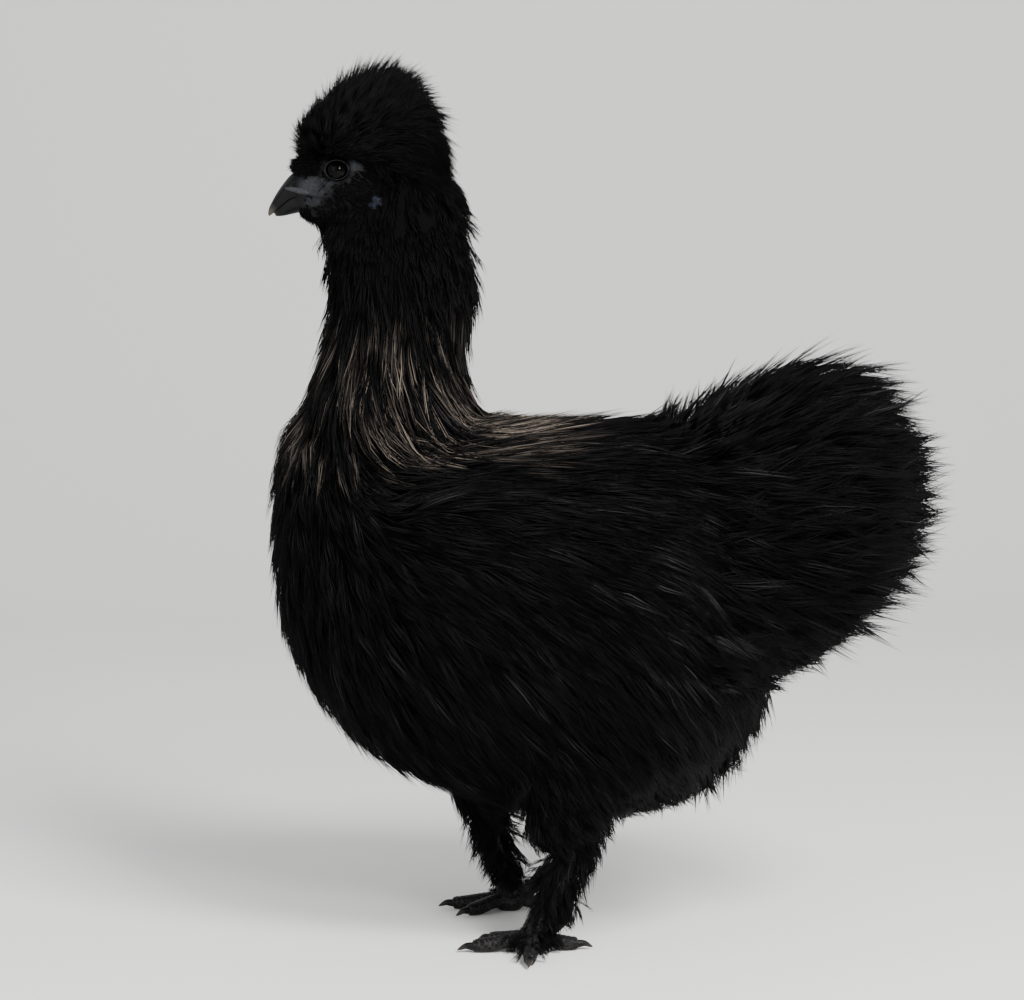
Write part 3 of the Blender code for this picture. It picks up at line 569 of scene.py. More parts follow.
# Eyes. A dark-brown iris round a black pupil, both nearly black in soft light, wet and clear over a
# slight bulge. Each sits in its socket behind the ring of lids.
for name, leg in LEGS.items():
    side = leg["side"]
    out = np.array((0.10, side, 0.06))
    out /= np.linalg.norm(out)
    across = np.cross(out, (0, 0, 1.0))
    across /= np.linalg.norm(across)
    above = np.cross(across, out)
    slope = np.linspace(0.03, math.pi - 0.03, 40)[:, None, None]
    turn = (np.arange(48) * math.tau / 48)[None, :, None]
    bulge = EYE_RADIUS - 0.12 + 0.3 * np.exp(-((slope / 0.5) ** 2))
    ring = np.cos(slope) * out + np.sin(slope) * (np.cos(turn) * across + np.sin(turn) * above)
    eye = made_solid("eye_" + name + "_wet", [shell(EYE * (1, side, 1) + bulge * ring, 0.02)])
    tones = eye.data.attributes.new("from_axis", "FLOAT", "POINT")
    middle = EYE * (1, side, 1) * MM
    for spot, vertex in zip(tones.data, eye.data.vertices):
        spot.value = (vertex.co - Vector(middle)).normalized().angle(Vector(out)) / math.pi
    material, tree, shader = start_material("wet eye " + name, 0.05, 0.07)
    axis = add_node(tree, "ShaderNodeAttribute", {"attribute_name": "from_axis"}).outputs["Fac"]
    stops = ((0.0, "#010101"), (0.14, "#010101"), (0.16, "#050302"), (0.25, "#030202"), (0.29, "#010101"))
    tree.links.new(ramp(tree, axis, stops), shader.inputs["Base Color"])
    eye.data.materials.append(material)
    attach(eye, "root")
    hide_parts("eye_" + name)

# Beak. Short and curved, slate horn over bone with a pale tip and edges, a slit nostril on each side
# under a soft flap, and the lower half closed against it.
UPPER_BEAK = (
    (106.0, 271.2, 0, 4.9, 6.2),
    (109.5, 271.0, 0, 5.0, 5.6),
    (112.5, 269.8, 0, 4.5, 4.8),
    (115.5, 267.0, 0, 3.8, 3.7),
    (118.2, 264.0, 0, 2.8, 2.3),
    (120.4, 261.1, 0, 1.6, 0.9),
)
LOWER_BEAK = (
    (106.0, 264.2, 0, 3.2, 5.0),
    (109.5, 263.9, 0, 3.1, 4.5),
    (112.5, 263.2, 0, 3.0, 3.8),
    (115.5, 262.0, 0, 2.4, 2.7),
    (118.0, 261.1, 0, 1.6, 1.4),
)
NOSTRIL = (110.9, 270.6)
NOSTRIL_SLOPE = -0.55


def horn(name, dark, pale, tip, reach, grain_mm):
    """Keratin, dark at its root and pale where it is worn thin, with fine lines along it."""
    material, tree, shader = start_material(name, 0.42, 0.12)
    place = add_node(tree, "ShaderNodeTexCoord").outputs["Object"]
    settings = {"Location": [-value * MM for value in tip]}
    settings["vector_type"] = "POINT"
    local = add_node(tree, "ShaderNodeMapping", settings, Vector=place).outputs[0]
    far = add_node(tree, "ShaderNodeVectorMath", {"operation": "LENGTH"}, i0=local).outputs["Value"]
    share = add_node(tree, "ShaderNodeMath", {"operation": "DIVIDE", 1: reach * MM}, i0=far).outputs[0]
    streak = add_node(tree, "ShaderNodeTexNoise", {"Scale": 1 / (grain_mm * MM), "Detail": 2.0}, Vector=place)
    wander = add_node(tree, "ShaderNodeMath", {"operation": "MULTIPLY_ADD", 1: 0.35, 2: -0.17}, i0=streak.outputs[0])
    total = add_node(tree, "ShaderNodeMath", {"operation": "ADD"}, i0=share, i1=wander.outputs[0])
    tree.links.new(ramp(tree, total.outputs[0], ((0.15, pale), (0.8, dark))), shader.inputs["Base Color"])
    bump = add_node(tree, "ShaderNodeBump", {"Strength": 0.3, "Distance": 0.05 * MM}, Height=streak.outputs[0])
    tree.links.new(bump.outputs[0], shader.inputs["Normal"])
    return material


def beak_half(rows, ridge):
    """Half a beak: its rings, narrowed to a ridge above or below."""
    grid = ring_grid(rows, 90, 72)
    turn = np.arange(72) * math.tau / 72
    rise = np.cos(turn) * ridge
    square = np.maximum(np.abs(np.sin(turn)), 0.03) ** -0.85
    grid[..., 1] *= np.where(rise < 0, square, 1 - 0.3 * rise**2)
    return grid


upper = beak_half(UPPER_BEAK, 1)
x, y, z = np.moveaxis(upper, -1, 0)
across = z - NOSTRIL[1] - NOSTRIL_SLOPE * (x - NOSTRIL[0])
slit = np.exp(-(((x - NOSTRIL[0]) / 1.2) ** 4) - (across / 0.4) ** 2)
upper[..., 1] -= np.sign(y) * 0.9 * slit
lower = beak_half(LOWER_BEAK, -1)
for name, grid, tip, reach in (
    ("beak_upper", upper, (120.4, 0, 260.6), 5.5),
    ("beak_lower", lower, (120.0, 0, 260.6), 4.0),
):
    beak = made_solid(name + "_horn", [shell(grid, 0.5)])
    beak.data.materials.append(horn(name + " slate horn", "#060607", "#45413a", tip, reach, 0.9))
    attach(beak, "root")
    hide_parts(name)

# Comb, ear lobes and wattles. Small in a young bird: a low warty mulberry comb under the brow
# feathers, an oval bluish lobe below each ear and a short soft wattle below each corner of the mouth.
COMB = ((106.4, 0, 279.9), (2.8, 3.2, 1.8))
EAR_LOBE = ((81.4, 13.6, 262.8), (2.9, 1.6, 3.8))
WATTLE = ((103.0, 5.7, 261.2), (2.2, 1.3, 2.3))


def soft_lump(middle, radii, wart_mm, wart_height):
    """A soft fleshy form with warts or folds of the size asked."""
    slope = np.linspace(0.05, math.pi - 0.05, 30)[:, None, None]
    turn = (np.arange(36) * math.tau / 36)[None, :, None]
    axes = np.eye(3)
    unit = np.cos(slope) * axes[2] + np.sin(slope) * (np.cos(turn) * axes[0] + np.sin(turn) * axes[1])
    grid = np.array(middle) + unit * np.array(radii)
    swell = [[noise.noise(Vector(place) / wart_mm) for place in row] for row in grid]
    return shell(grid + unit * wart_height * np.array(swell)[..., None], 0.02)


for name, (middle, radii), wart, height, dark, light, slot in (
    ("comb", COMB, 1.1, 0.6, "#0f0a0c", "#20161a", "comb_skin"),
    ("earlobe", EAR_LOBE, 1.4, 0.5, "#0c0e14", "#1c1f29", "lobe_skin"),
    ("wattle", WATTLE, 1.0, 0.6, "#050506", "#0d0d0f", "comb_skin"),
):
    finish = leathery(name + " skin", dark, light, 0.4, 0.1, 0.6, 0.08)
    for suffix, side in (("", 1),) if name == "comb" else (("_left", 1), ("_right", -1)):
        lump = made_solid(name + suffix + "_soft", [soft_lump((middle[0], side * middle[1], middle[2]), radii, wart, height)])
        lump.data.materials.append(finish)
        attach(lump, "root")
        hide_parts(name + suffix)

# Claws. Short curved dark horn, one at the tip of each toe, paler where they are worn.
CLAW_LENGTH = 5.5
CLAW_RADII = (1.3, 1.45, 1.1, 0.65, 0.2)
for name, leg in LEGS.items():
    for number, (turn, length, rise) in enumerate(TOES, 1):
        route = toe_route(leg, turn, length, rise)
        along = route[-1] - route[-2]
        along /= np.linalg.norm(along)
        drop = 0.0 if rise else -1.0
        hook = [route[-1] - along * 1.2, route[-1] + along * 0.3]
        hook += [
            route[-1] + along * (0.3 + CLAW_LENGTH * share) + (0, 0, lift)
            for share, lift in ((0.45, 0.25), (0.8, 0.45 * drop), (1.0, 0.9 * drop))
        ]
        grid = tube_grid(hook, CLAW_RADII, 24, 16)
        grid[..., 2] = np.maximum(grid[..., 2], 0.0)
        claw = made_solid(f"claw_{name}_{number}_horn", [shell(grid)])
        claw.data.materials.append(horn(f"claw horn {name} {number}", "#0e0e10", "#332f2b", tuple(hook[-1]), 5.0, 0.6))
        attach(claw, "root")
        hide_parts(f"claw_{name}_{number}")

# The coat. Silkie feathers have no hooks to knit them, so each is a loose plume of silky barbs. Every
# tuft here is one plume: a few closed, tapering strands that leave one root in the skin, spread, and
# draw together towards the tip, lying over the plumes behind it.
PATH_STEPS = 6
PATCH = 0.003
BODY, FACE, LEG = 0, 1, 2

skin.data.calc_loop_triangles()
vertex_places = np.array([vertex.co for vertex in skin.data.vertices]) / MM
vertex_facings = np.array([vertex.normal for vertex in skin.data.vertices])
triangles = np.array([tri.vertices for tri in skin.data.loop_triangles])
triangle_kind = np.array([tri.material_index for tri in skin.data.loop_triangles])
corners = vertex_places[triangles]
edges = corners[:, 1:] - corners[:, :1]
triangle_areas = 0.5 * np.linalg.norm(np.cross(edges[:, 0], edges[:, 1]), axis=1)
triangle_middles = corners.mean(axis=1)
triangle_facings = vertex_facings[triangles].mean(axis=1)


def skin_tree(*kinds):
    """The triangles of some kinds of skin, to find the nearest place on."""
    rows = triangles[np.isin(triangle_kind, kinds)]
    return BVHTree.FromPolygons(vertex_places.tolist(), rows.tolist())


whole_tree = skin_tree(BODY, FACE, LEG)
hiding_tree = {BODY: skin_tree(FACE), FACE: skin_tree(BODY), LEG: skin_tree(BODY)}


def roots_on(kind, share_at, count, chance):
    """Places and facings on one kind of skin, evenly spread, where share_at gives more than 0."""
    share = share_at(triangle_middles, triangle_facings) * (triangle_kind == kind)
    weight = triangle_areas * share
    picks = chance.choice(len(weight), size=3 * count, p=weight / weight.sum())
    mix = chance.dirichlet((1, 1, 1), size=3 * count)
    places = (corners[picks] * mix[..., None]).sum(axis=1)
    facings = (vertex_facings[triangles[picks]] * mix[..., None]).sum(axis=1)
    cell = 0.8 * math.sqrt(weight.sum() / count)
    _, first = np.unique(np.floor(places / cell).astype(int), axis=0, return_index=True)
    chosen = chance.permutation(first)[:count]
    if len(chosen) < count:
        rest = chance.permutation(np.setdiff1d(np.arange(3 * count), first))
        chosen = np.concatenate([chosen, rest[: count - len(chosen)]])
    clear = []
    for number in chosen:
        near, normal, _, _ = hiding_tree[kind].find_nearest(Vector(places[number]))
        clear.append((Vector(places[number]) - near).dot(normal) > 0.1)
    chosen = chosen[clear]
    facings = facings[chosen]
    return places[chosen], facings / np.linalg.norm(facings, axis=1, keepdims=True)


def lay_paths(places, facings, lengths, rises, stands, settle, free, lie, sway, chance):
    """Each plume's line over the skin, and which way is up along it."""
    paths = np.empty((len(places), PATH_STEPS + 1, 3))
    ups = np.empty_like(paths)
    for number, (spot, facing) in enumerate(zip(places, facings)):
        place = Vector(spot)
        up = Vector(facing)
        turned = Vector(chance.normal(0, sway, 3))
        ahead = None
        step = lengths[number] / PATH_STEPS
        for i in range(PATH_STEPS + 1):
            share = i / PATH_STEPS
            near, normal, _, _ = whole_tree.find_nearest(place)
            height = (place - near).dot(normal)
            least = rises[number] * share**0.7 - 0.8 * (1 - share)
            if height < least:
                place = place + normal * (least - height)
            elif settle:
                place = place - normal * settle * (height - least)
            up = (2.0 * up + normal).normalized()
            flow = Vector(lie(place)).normalized() + turned
            flow = (flow - up * flow.dot(up) * (1 - free)).normalized() + up * stands[number]
            ahead = flow.normalized() if ahead is None else (1.5 * ahead + flow).normalized()
            paths[number, i] = place
            ups[number, i] = up
            place = place + ahead * step
    return paths, ups


def strands(paths, ups, each, stations, wide, spread, deep, clump, frizz, chance):
    """Closed three-sided strands, each at the same stations along its plume, as points and faces."""
    plumes = len(paths)
    count = plumes * each
    owner = np.repeat(np.arange(plumes), each)
    reach = chance.uniform(0.5, 1.0, count) ** 0.7
    side = chance.uniform(-1, 1, count)
    height = chance.uniform(-0.3, 1, count)
    phase = chance.uniform(0, math.tau, count)
    turns = chance.uniform(2.0, 5.5, count)
    girth = wide * chance.uniform(0.65, 1.2, count)
    ahead = np.gradient(paths, axis=1)
    across = np.cross(ahead, ups)
    across /= np.linalg.norm(across, axis=2, keepdims=True) + 1e-9
    rings = []
    for share in (*stations, 1.0):
        spot = share * reach * PATH_STEPS
        i = np.minimum(spot.astype(int), PATH_STEPS - 1)
        f = (spot - i)[:, None]
        middle = paths[owner, i] * (1 - f) + paths[owner, i + 1] * f
        sideways = across[owner, i] * (1 - f) + across[owner, i + 1] * f
        upward = ups[owner, i] * (1 - f) + ups[owner, i + 1] * f
        open_out = (0.2 + 0.8 * math.sin(math.pi * min(share / 0.65, 1) / 2)) * (1 - clump * share**2)
        wave = frizz * share * np.sin(phase + turns * share)
        middle = middle + sideways * (side * spread * open_out + wave)[:, None]
        middle = middle + upward * (height * deep * (1 - clump * share**2) + 0.6 * wave)[:, None]
        if share == 1.0:
            rings.append(middle[:, None])
            continue
        half = (0.5 * girth * (1 - 0.45 * abs(1 - 2 * share)))[:, None]
        low = middle - upward * half * 0.5
        rings.append(np.stack([low - sideways * half, low + sideways * half, middle + upward * half * 0.6], axis=1))
    points = np.concatenate(rings, axis=1)
    levels = len(stations)
    last = 3 * (levels - 1)
    tip = 3 * levels
    pattern = [(0, 1, 2)]
    for level in range(levels - 1):
        for j in range(3):
            low, high = 3 * level + j, 3 * level + (j + 1) % 3
            pattern += [(low, low + 3, high + 3), (low, high + 3, high)]
    pattern += [(last + j, tip, last + (j + 1) % 3) for j in range(3)]
    faces = np.array(pattern)[None] + (np.arange(count) * points.shape[1])[:, None, None]
    return points, faces.reshape(-1, 3), owner, side


def unwrapped(places, middle, upright):
    """Where each place lies on an unwrap of its form, turned about its middle."""
    x, y, z = (places - np.array(middle)).T
    if not upright:
        x, z = z, x
    turn = np.arctan2(y, x) / math.tau + 0.5
    tilt = np.arctan2(z, np.hypot(x, y)) / math.pi + 0.5
    return np.stack([0.02 + 0.96 * turn, 0.02 + 0.96 * tilt], axis=-1)


def coat_mesh(name, points, faces, owner, stations, roots_uv, tones):
    """A mesh of strands with its OFBake map, and each plume's tones kept on its points."""
    mesh = bpy.data.meshes.new(name)
    mesh.vertices.add(points.size // 3)
    mesh.vertices.foreach_set("co", (points * MM).astype(np.float32).ravel())
    mesh.loops.add(faces.size)
    mesh.loops.foreach_set("vertex_index", faces.astype(np.int32).ravel())
    mesh.polygons.add(len(faces))
    mesh.polygons.foreach_set("loop_start", np.arange(0, faces.size, 3, dtype=np.int32))
    mesh.polygons.foreach_set("use_smooth", np.ones(len(faces), bool))
    level = np.array([share for share in stations for _ in range(3)] + [1.0])
    corner = np.array([0.0, 1.0, 0.5] * len(stations) + [0.5])
    patch = np.stack([level - 0.5, corner - 0.5], axis=-1) * PATCH
    flat = (roots_uv[owner][:, None] + patch[None]).reshape(-1, 2)
    layer = mesh.uv_layers.new(name="OFBake")
    layer.data.foreach_set("uv", flat[faces.ravel()].astype(np.float32).ravel())
    shade = mesh.color_attributes.new("plume", "FLOAT_COLOR", "POINT")
    tone = np.ones((len(owner), points.shape[1], 4))
    tone[..., 0] = tones[:, :1]
    tone[..., 1] = level
    tone[..., 2] = tones[:, 1:]
    shade.data.foreach_set("color", tone.astype(np.float32).ravel())
    mesh.update()
    mesh.validate()
    obj = bpy.data.objects.new(name, mesh)
    bpy.context.scene.collection.objects.link(obj)
    return obj


def silky_down():
    """Black silkie barbs: soft and matt with a faint grey sheen, straw-brown on the hackle's streaks."""
    material, tree, shader = start_material("black silkie down", 0.6, 0.065)
    plume = add_node(tree, "ShaderNodeAttribute", {"attribute_name": "plume"}).outputs["Color"]
    parts = add_node(tree, "ShaderNodeSeparateColor", i0=plume).outputs
    grey = ramp(tree, parts[0], ((0.0, "#020202"), (0.5, "#070708"), (0.88, "#101011"), (0.96, "#2c2b2d")))
    straw = ramp(tree, parts[1], ((0.0, "#17120f"), (0.35, "#5b524a"), (1.0, "#94887c")))
    mixed = add_node(tree, "ShaderNodeMix", {"data_type": "RGBA"}, i0=parts[2], i6=grey, i7=straw)
    tree.links.new(mixed.outputs[2], shader.inputs["Base Color"])
    return material


def streaks(places, chance):
    """How straw-brown each plume is: in streaks low on the hackle and where it meets the saddle."""
    x, y, z = places.T
    hackle = ease(z, 242, 206) * ease(z, 166, 184) * ease(x, 20, 42) * (1 - 0.55 * ease(x, 76, 94))
    band = np.exp(-(((z - 190 - 24 * ease(x, 52, 82)) / 15) ** 2))
    return ease(chance.uniform(0, 1, len(places)) + 0.22 * band + 0.2 * ease(x, 62, 48), 0.56, 0.86) * hackle


def grey_and_painted_shade(places):
    """Painted shade makes the crest and upper neck the deepest black; more grey plumes where the flank meets the tail.
    """
    x, _, z = places.T
    rear = ease(x, 14, -4) * ease(x, -40, -22) * ease(z, 84, 100) * ease(z, 166, 150)
    return 1 - 0.5 * ease(z, 225, 255) + 0.22 * rear


down = silky_down()


def at_places(value, places):
    """A number for each place, from one number or from a function of the places."""
    return value(places) if callable(value) else np.full(len(places), float(value))


def grow(
    name, nodes, kind, share_at, lie, plumes, each, long, rise, stand, wide=0.4, spread=2.6, deep=1.1,
    clump=0.55, frizz=0.7, settle=0.3, free=0.0, sway=0.1, ragged=0.28, stations=(0.0, 0.5),
    middle=(20, 0, 110), upright=False
):
    """One part of the coat: plumes rooted where share_at asks, lying as lie asks."""
    chance = np.random.default_rng(sum(name.encode()))
    places, facings = roots_on(kind, share_at, plumes, chance)
    lengths = at_places(long, places) * chance.uniform(1 - ragged, 1 + 0.43 * ragged, len(places))
    rises = at_places(rise, places) * chance.uniform(0.25, 1.1, len(places))
    stands = at_places(stand, places) * chance.uniform(0.2, 1.3, len(places))
    paths, ups = lay_paths(places, facings, lengths, rises, stands, settle, free, lie, sway, chance)
    points, faces, owner, side = strands(paths, ups, each, stations, wide, spread, deep, clump, frizz, chance)
    points[..., 2] = np.maximum(points[..., 2], 0.3)
    straw = streaks(places, chance)[owner] * np.exp(-((side / 0.45) ** 2))
    # Each strand's grey tone, with painted shade darkening the crest and upper neck.
    grey = 0.75 * (chance.uniform(0, 1, len(places)) * grey_and_painted_shade(places))[owner] + 0.25 * chance.uniform(0, 1, len(owner))
    tones = np.stack([np.clip(grey, 0, 1), straw], axis=-1)
    coat = coat_mesh(name, points, faces, owner, stations, unwrapped(places, middle, upright), tones)
    coat.data.materials.append(down)
    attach(coat, "root")
    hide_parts(*nodes)


LONG = (0.0, 0.38, 0.74)


# Crest. A rounded puff of short plumes that stand up from the crown, a little swept back, with fine
# tips all round its outline. They lie flat down the nape and hang over the brow.
def crest_edge(x):
    """How high the crest's lower edge runs at x, from the brow to the nape."""
    return 281 - 15 * ease(x, 88, 52)


def on_crest(p, n):
    return (p[:, 2] > crest_edge(p[:, 0]) - 1) * 1.0


def crest_lie(place):
    """Up and out from the brow, back over the crown and down at the nape."""
    out = (place - Vector((86, 0, 272))).normalized()
    low = ease(abs(place.y), 6, 16) * ease(place.z, 295, 284)
    sweep = 0.35 * ease(place.x, 104, 86) + 0.9 * low
    drop = 1.3 * ease(place.x, 74, 56) + 0.6 * low * ease(place.x, 86, 76)
    rise = 1.2 * ease(place.x, 94, 106) * ease(place.z, 298, 286) * ease(place.z, 281, 287)
    droop = 1.1 * ease(place.x, 94, 103) * ease(place.z, 287, 281)
    return out + Vector((-sweep, -0.5 * low * out.y, 0.1 - drop + rise - droop))


def crest_stand(p):
    """Upright on top and over the brow, flat at the nape and sides."""
    return 0.12 + 0.85 * ease(p[:, 2], 280, 298) + 0.7 * ease(p[:, 0], 98, 104) * ease(p[:, 2], 290, 284)


def crest_long(p):
    """Longest on the crown and shorter in front over the brow."""
    low = 4 * ease(p[:, 2], 286, 272) * ease(p[:, 0], 72, 60)
    return 14 + 2.5 * ease(p[:, 2], 290, 300) - 5.0 * ease(p[:, 0], 92, 106) - low


def crest_rise(p):
    """Low where it lies on the nape."""
    return 3.2 + 3.6 * ease(p[:, 2], 276, 288)


grow(
    "coat_crest", ("crest",), BODY, on_crest, crest_lie, 2050, 9, crest_long, crest_rise, crest_stand,
    wide=0.3, spread=1.8, deep=1.4, frizz=0.6, settle=0.0, sway=0.16, middle=(83, 0, 280), upright=True
)


# Face. Very short plumes lie back from the beak and round the eye, and hang under the chin. They
# leave bare the nostril flap, the lore, the corner of the mouth and a patch behind the eye.
def on_face(p, n):
    x, y, z = p.T
    share = (x < 109.5) * 1.0 + 1.5 * (x > 101) * (z > 274)
    share *= np.where(np.abs(y) > 4, ease(np.min(from_bare(p), axis=0), 0.85, 1.4), 1)
    return share * ((x < 107.5) | (z < 263) | (z > 274))


def face_lie(place):
    """Back from the beak and away from the eye, up on the forehead and down under the chin."""
    x, y, z = place
    away = Vector((x - 95, 0, z - 275.2))
    away *= math.exp(-((away.length / 8) ** 2)) * 0.12 * ease(abs(y), 5, 8)
    brow = ease(x, 98, 104) * ease(z, 271, 275)
    chin = ease(z, 266, 260)
    back = Vector((-1, 0, -0.3 - 0.9 * ease(x, 90, 78)))
    high = ease(z, 276, 282)
    up = Vector((1.05 - 0.5 * high, 0, 0.1 + 0.75 * high))
    return back * (1 - brow) * (1 - chin) + up * brow + Vector((0.15, 0, -1)) * chin + away


def face_long(p):
    """Longer towards the cheek, the throat and the brow, and shorter round each bare patch."""
    x, z = p[:, 0], p[:, 2]
    long = 3.4 + 2.8 * ease(x, 100, 84) + 6.5 * ease(z, 264, 257) + 8.0 * ease(x, 98, 104) * ease(z, 274.5, 279)
    return long * (0.4 + 0.6 * ease(np.min(from_bare(p), axis=0), 0.9, 1.9))


def face_stand(p):
    """Nearly flat but on the forehead and throat."""
    return 0.12 + 0.5 * ease(p[:, 0], 98, 104) * (ease(p[:, 2], 273, 277) + ease(p[:, 2], 264, 259))


grow(
    "coat_face", ("head",), FACE, on_face, face_lie, 4200, 6, face_long, 1.3, face_stand,
    wide=0.3, spread=1.1, deep=0.5, frizz=0.25, free=0.7, middle=(85, 0, 268), upright=True
)


# Hackle. Plumes lengthen down the neck and fan out over the shoulders, with straw-brown streaks low
# down. Behind, they sweep round from the nape to lie level along the saddle.
def torso_lie(place):
    """Back along the saddle, back and down the flank, and down the breast."""
    slope = 0.1 + 1.25 * ease(place.z, 175, 75) + 2.5 * ease(place.x, 70, 112)
    return Vector((-1, 0, -slope)).normalized()


def body_lie(place):
    """Down the neck, turning into the lie of the body below it."""
    out = Vector((place.x - 76, place.y, 0)).normalized()
    down_neck = (Vector((-0.12, 0, -1)) + out * 0.6 * ease(place.z, 222, 190)).normalized()
    share = ease(place.z, 208, 184 - 22 * ease(place.x, 48, 74))
    return down_neck * (1 - share) + torso_lie(place) * share


def on_neck(p, n):
    high = (p[:, 2] < crest_edge(p[:, 0]) + 1) & (p[:, 0] > 36)
    return high * ease(p[:, 2] + 0.35 * np.minimum(76 - p[:, 0], 0), 160, 180)


def neck_long(p):
    """From short under the cheek to long at the shoulders."""
    return 9 + 28 * ease(p[:, 2], 256, 205)


def neck_rise(p):
    """Deeper behind the nape and under the throat."""
    full = 1.6 * ease(p[:, 0], 66, 52) + 0.6 * ease(p[:, 0], 84, 96)
    return 5.8 - 1.6 * ease(p[:, 2], 200, 212) + full * ease(p[:, 2], 208, 230)


grow(
    "coat_neck", ("neck",), BODY, on_neck, body_lie, 1450, 8, neck_long, neck_rise, 0.04,
    wide=0.38, spread=2.5, deep=1.2, clump=0.4, settle=0.3, free=0.2, sway=0.14, stations=LONG, middle=(76, 0, 205), upright=True
)


# Breast. Full soft plumes hang down and a little back from the crop to between the thighs.
def on_breast(p, n):
    return (p[:, 0] > 58) * (p[:, 2] < 184) * 1.0


grow("coat_breast", ("torso",), BODY, on_breast, body_lie, 1500, 10, 27, 7.0, 0.1, deep=1.3, free=0.2, sway=0.14)


# Saddle and back. Long plumes lie level over the back up to the rise of the tail.
def on_back(p, n):
    return (p[:, 0] < 60) * (p[:, 0] > -44) * (p[:, 2] > 140) * (p[:, 2] < 200) * 1.0


def before_tail(p):
    """A share from 0 to 1 towards the soft fluff where the back turns up into the tail."""
    return ease(p[:, 0], 2, -22) * ease(p[:, 2], 166, 180)


def back_stand(p):
    """Raised where the tail begins."""
    return 0.06 + 1.1 * before_tail(p)


def back_long(p):
    return 32 - 17 * before_tail(p)


def back_rise(p):
    return 7.2 + 6.5 * before_tail(p)


grow("coat_back", ("torso",), BODY, on_back, body_lie, 1650, 9, back_long, back_rise, back_stand, ragged=0.35)


def round_thighs(p):
    """A share from 0 to 1 towards the thighs, where the body's plumes are shorter."""
    return ease(p[:, 2], 82, 58) * ease(p[:, 0], -36, -20) * ease(p[:, 0], 50, 40)


def flank_long(p):
    return 29 - 17 * round_thighs(p)


# Flanks. Deep down over both sides lies back, and further down the lower it grows.
def on_flank(side):
    def share(p, n):
        inside = (p[:, 0] < 60) & (p[:, 0] > -72) & (p[:, 2] < 142) & (p[:, 2] > 54)
        return inside * (side * p[:, 1] > 12) * 1.0

    return share


for side, name in ((1, "coat_flank_left"), (-1, "coat_flank_right")):
    grow(name, ("torso",), BODY, on_flank(side), body_lie, 1350, 9, flank_long, 7.5, 0.1, deep=1.3)


# Belly and vent. The softest and fluffiest down hangs between the legs and below the tail.
def on_belly(p, n):
    under = (np.abs(p[:, 1]) <= 14) | (p[:, 2] <= 56)
    rear = -72 + 16 * ease(p[:, 2], 84, 92)
    return (p[:, 0] < 62) * (p[:, 0] > rear) * (p[:, 2] < 142) * under * 1.0


def belly_long(p):
    return 22 - 12 * round_thighs(p) + 2 * ease(p[:, 0], -30, -50)


def vent_stand(p):
    """Fluffed out round the vent."""
    return 0.1 + 0.2 * ease(p[:, 0], -30, -46)


grow(
    "coat_belly", ("torso",), BODY, on_belly, body_lie, 1150, 9, belly_long, 6.5, vent_stand,
    deep=1.3, clump=0.7, settle=0.15, free=0.25, sway=0.16, ragged=0.38
)


# Wings. Short and soft, folded high on the flank and all but lost in the down around them.
def on_wing(side):
    def share(p, n):
        near = ((p[:, 0] - 20) / 58) ** 2 + ((p[:, 2] - 136) / 27) ** 2 < 1
        return near * (side * p[:, 1] > 46) * 1.0

    return share


def wing_lie(_):
    """Back along the flank and a little down."""
    return Vector((-1, 0, -0.36))


for side, name in ((1, "wing_left"), (-1, "wing_right")):
    grow(
        "coat_" + name, (name,), BODY, on_wing(side), wing_lie, 520, 9, 34, 4.0, 0.05,
        wide=0.45, deep=1.0, clump=0.7, middle=(22, 30 * side, 136)
    )


# Tail. A big cushion of plumes without stiff quills. It fans from the root, its tips run back and
# droop at the top and bottom of the fan, and its rear edge is ragged.
def on_tail(p, n):
    return ease(p[:, 0], -26, -36) * ease(p[:, 2], 92, 100)


def tail_lie(place):
    """Back, fanned up in front and drooping behind."""
    x, _, z = place
    slope = (z - 151) / 60 * (0.1 + 0.75 * ease(x, -115, -30))
    slope -= 0.3 * ease(z, 185, 210) * ease(x, -60, -95)
    slope *= 1 - 0.5 * ease(z, 130, 100)
    return Vector((-1, 0.004 * place.y, slope))


def tail_long(p):
    """Shorter on the rear face, where the plumes point straight out."""
    x, z = p[:, 0], p[:, 2]
    low = 22 * ease(z, 130, 104) * ease(x, -96, -84)
    front = 15 * ease(z, 170, 184) * ease(x, -58, -38)
    return 38 - 16 * ease(x, -72, -97) - low - front


def tail_stand(p):
    """Raised along the front of the top edge, flat on the sides."""
    return 0.06 + 0.35 * ease(p[:, 2], 174, 188) * ease(p[:, 0], -60, -38)


def tail_rise(p):
    return 9.0 + 3.0 * ease(p[:, 2], 170, 190)


grow(
    "coat_tail", ("tail",), BODY, on_tail, tail_lie, 1950, 10, tail_long, tail_rise, tail_stand,
    spread=2.6, deep=1.6, clump=0.8, frizz=0.9, settle=0.0, free=0.55, sway=0.2, ragged=0.42, middle=(-50, 0, 152)
)


# Thighs. Shorter down narrows to the hock and hides the top of the shank.
def on_thigh(p, n):
    near = (p[:, 2] < 56) & (np.abs(np.abs(p[:, 1]) - LEG_SPREAD) < 20) & (p[:, 0] > -16)
    return near * (n[:, 2] < 0.9) * 1.0


def thigh_lie(place):
    """Down, and in towards the hock."""
    leg = LEGS["left" if place.y > 0 else "right"]
    low = ease(place.z, 60, 38)
    return Vector(((leg["hock_x"] + 2 - place.x) * 0.09 * low - 0.05, 0, -1))


def thigh_long(p):
    return 5 + 5.5 * ease(p[:, 2], 36, 54)


grow(
    "coat_thighs", ("thigh_left", "thigh_right"), BODY, on_thigh, thigh_lie, 850, 8, thigh_long, 2.4, 0.08,
    wide=0.34, spread=1.8, deep=0.9, middle=(20, 0, 45), upright=True
)


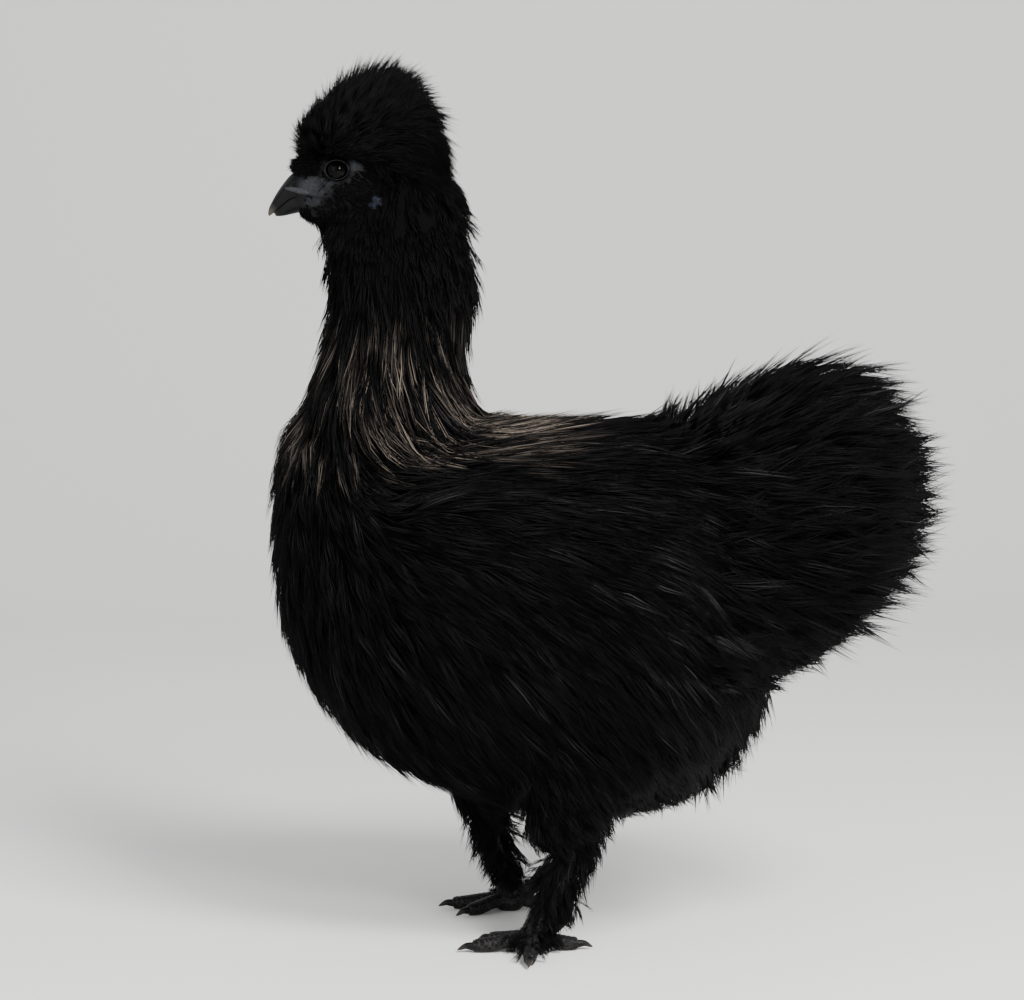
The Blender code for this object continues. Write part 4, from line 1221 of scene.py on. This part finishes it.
# Feathered feet. Plumes grow down the back and the outside of each shank and along the outer toes.
def on_shank(p, n):
    side = np.sign(p[:, 1])
    foot_x = np.where(side > 0, LEGS["left"]["foot_x"], LEGS["right"]["foot_x"])
    bare_front = np.where(side > 0, 0.8 * ease(p[:, 2], 18, 25), 0.9)
    shank = (p[:, 2] > 11) * (n[:, 0] * -0.8 + n[:, 1] * side * 0.5 > -bare_front)
    outward = side * p[:, 1] - LEG_SPREAD
    toe = (p[:, 2] < 9) * (p[:, 2] > 3.5) * (outward > 1) * (outward < 15) * (np.abs(p[:, 0] - foot_x) < 9)
    return shank * 1.0 + toe * 0.8


def shank_lie(place):
    """Down and away from the shank, spreading outward over the toe."""
    leg = LEGS["left" if place.y > 0 else "right"]
    middle = leg["hock_x"] + (leg["foot_x"] - leg["hock_x"]) * (HOCK_Z - place.z) / (HOCK_Z - 5.5)
    away = min(max(0.1 * (place.x - middle), -0.45), 0.45)
    return Vector((away, math.copysign(0.3, place.y), -1 + 0.5 * ease(place.z, 12, 6)))


def shank_long(p):
    return 7 + 9 * ease(p[:, 2], 10, 26)


grow(
    "coat_feet", ("shank_left", "shank_right", "foot_left", "foot_right"), LEG, on_shank, shank_lie, 780, 7,
    shank_long, 3.0, 0.4, wide=0.32, spread=1.6, deep=0.9, settle=0.0, middle=(24, 0, 20), upright=True
)

# The stage: a plain pale sweep for floor and wall, soft light from above on the bird's left and rear,
# and a camera at the photograph's height and distance, looking a little down.
sweep = [(1.6, 0.0), (-0.9, 0.0)]
sweep += [(-0.9 - 0.6 * math.sin(turn), 0.6 - 0.6 * math.cos(turn)) for turn in np.linspace(0.1, math.pi / 2, 24)]
sweep.append((-1.5, 2.2))
floor_points = [(x, y, z) for y, z in sweep for x in (-2.5, 2.5)]
floor_faces = [(i, i + 1, i + 3, i + 2) for i in range(0, len(floor_points) - 2, 2)]
floor_mesh = bpy.data.meshes.new("floor")
floor_mesh.from_pydata(floor_points, [], floor_faces)
floor_mesh.polygons.foreach_set("use_smooth", [True] * len(floor_faces))
floor = bpy.data.objects.new("floor", floor_mesh)
bpy.context.scene.collection.objects.link(floor)
material, tree, shader = start_material("pale matt floor", 0.85, 0.2)
shader.inputs["Base Color"].default_value = colour("#f0efec")
floor_mesh.materials.append(material)

world = bpy.data.worlds.new("pale studio")
world.use_nodes = True
world.node_tree.nodes["Background"].inputs["Color"].default_value = colour("#dcdde0")
world.node_tree.nodes["Background"].inputs["Strength"].default_value = 1.05
bpy.context.scene.world = world

LIGHTS = (
    ("key", (-0.45, 0.7, 1.0), 0.4, 21.0),
    ("fill", (0.9, 0.8, 0.5), 0.9, 5.0),
    ("glint", (-0.373, 0.836, 0.561), 0.22, 7.0),
)
for name, place, size, power in LIGHTS:
    lamp = bpy.data.lights.new(name, "AREA")
    lamp.shape = "SQUARE"
    lamp.size = size
    lamp.energy = power
    light = bpy.data.objects.new(name, lamp)
    light.location = place
    light.rotation_euler = (Vector((0, 0, 0.15)) - Vector(place)).to_track_quat("-Z", "Y").to_euler()
    bpy.context.scene.collection.objects.link(light)

CAMERA_PLACE = (33.48, 900.0, 225.0)
CAMERA_PITCH = 4.28
LENS = 2500 / 1024 * 36
lens = bpy.data.cameras.new("camera")
lens.sensor_width = 36
lens.lens = LENS
lens.clip_start = 0.01
camera = bpy.data.objects.new("camera", lens)
camera.location = [value * MM for value in CAMERA_PLACE]
camera.rotation_euler = (math.radians(90 - CAMERA_PITCH), 0, math.radians(180))
bpy.context.scene.collection.objects.link(camera)
bpy.context.scene.camera = camera
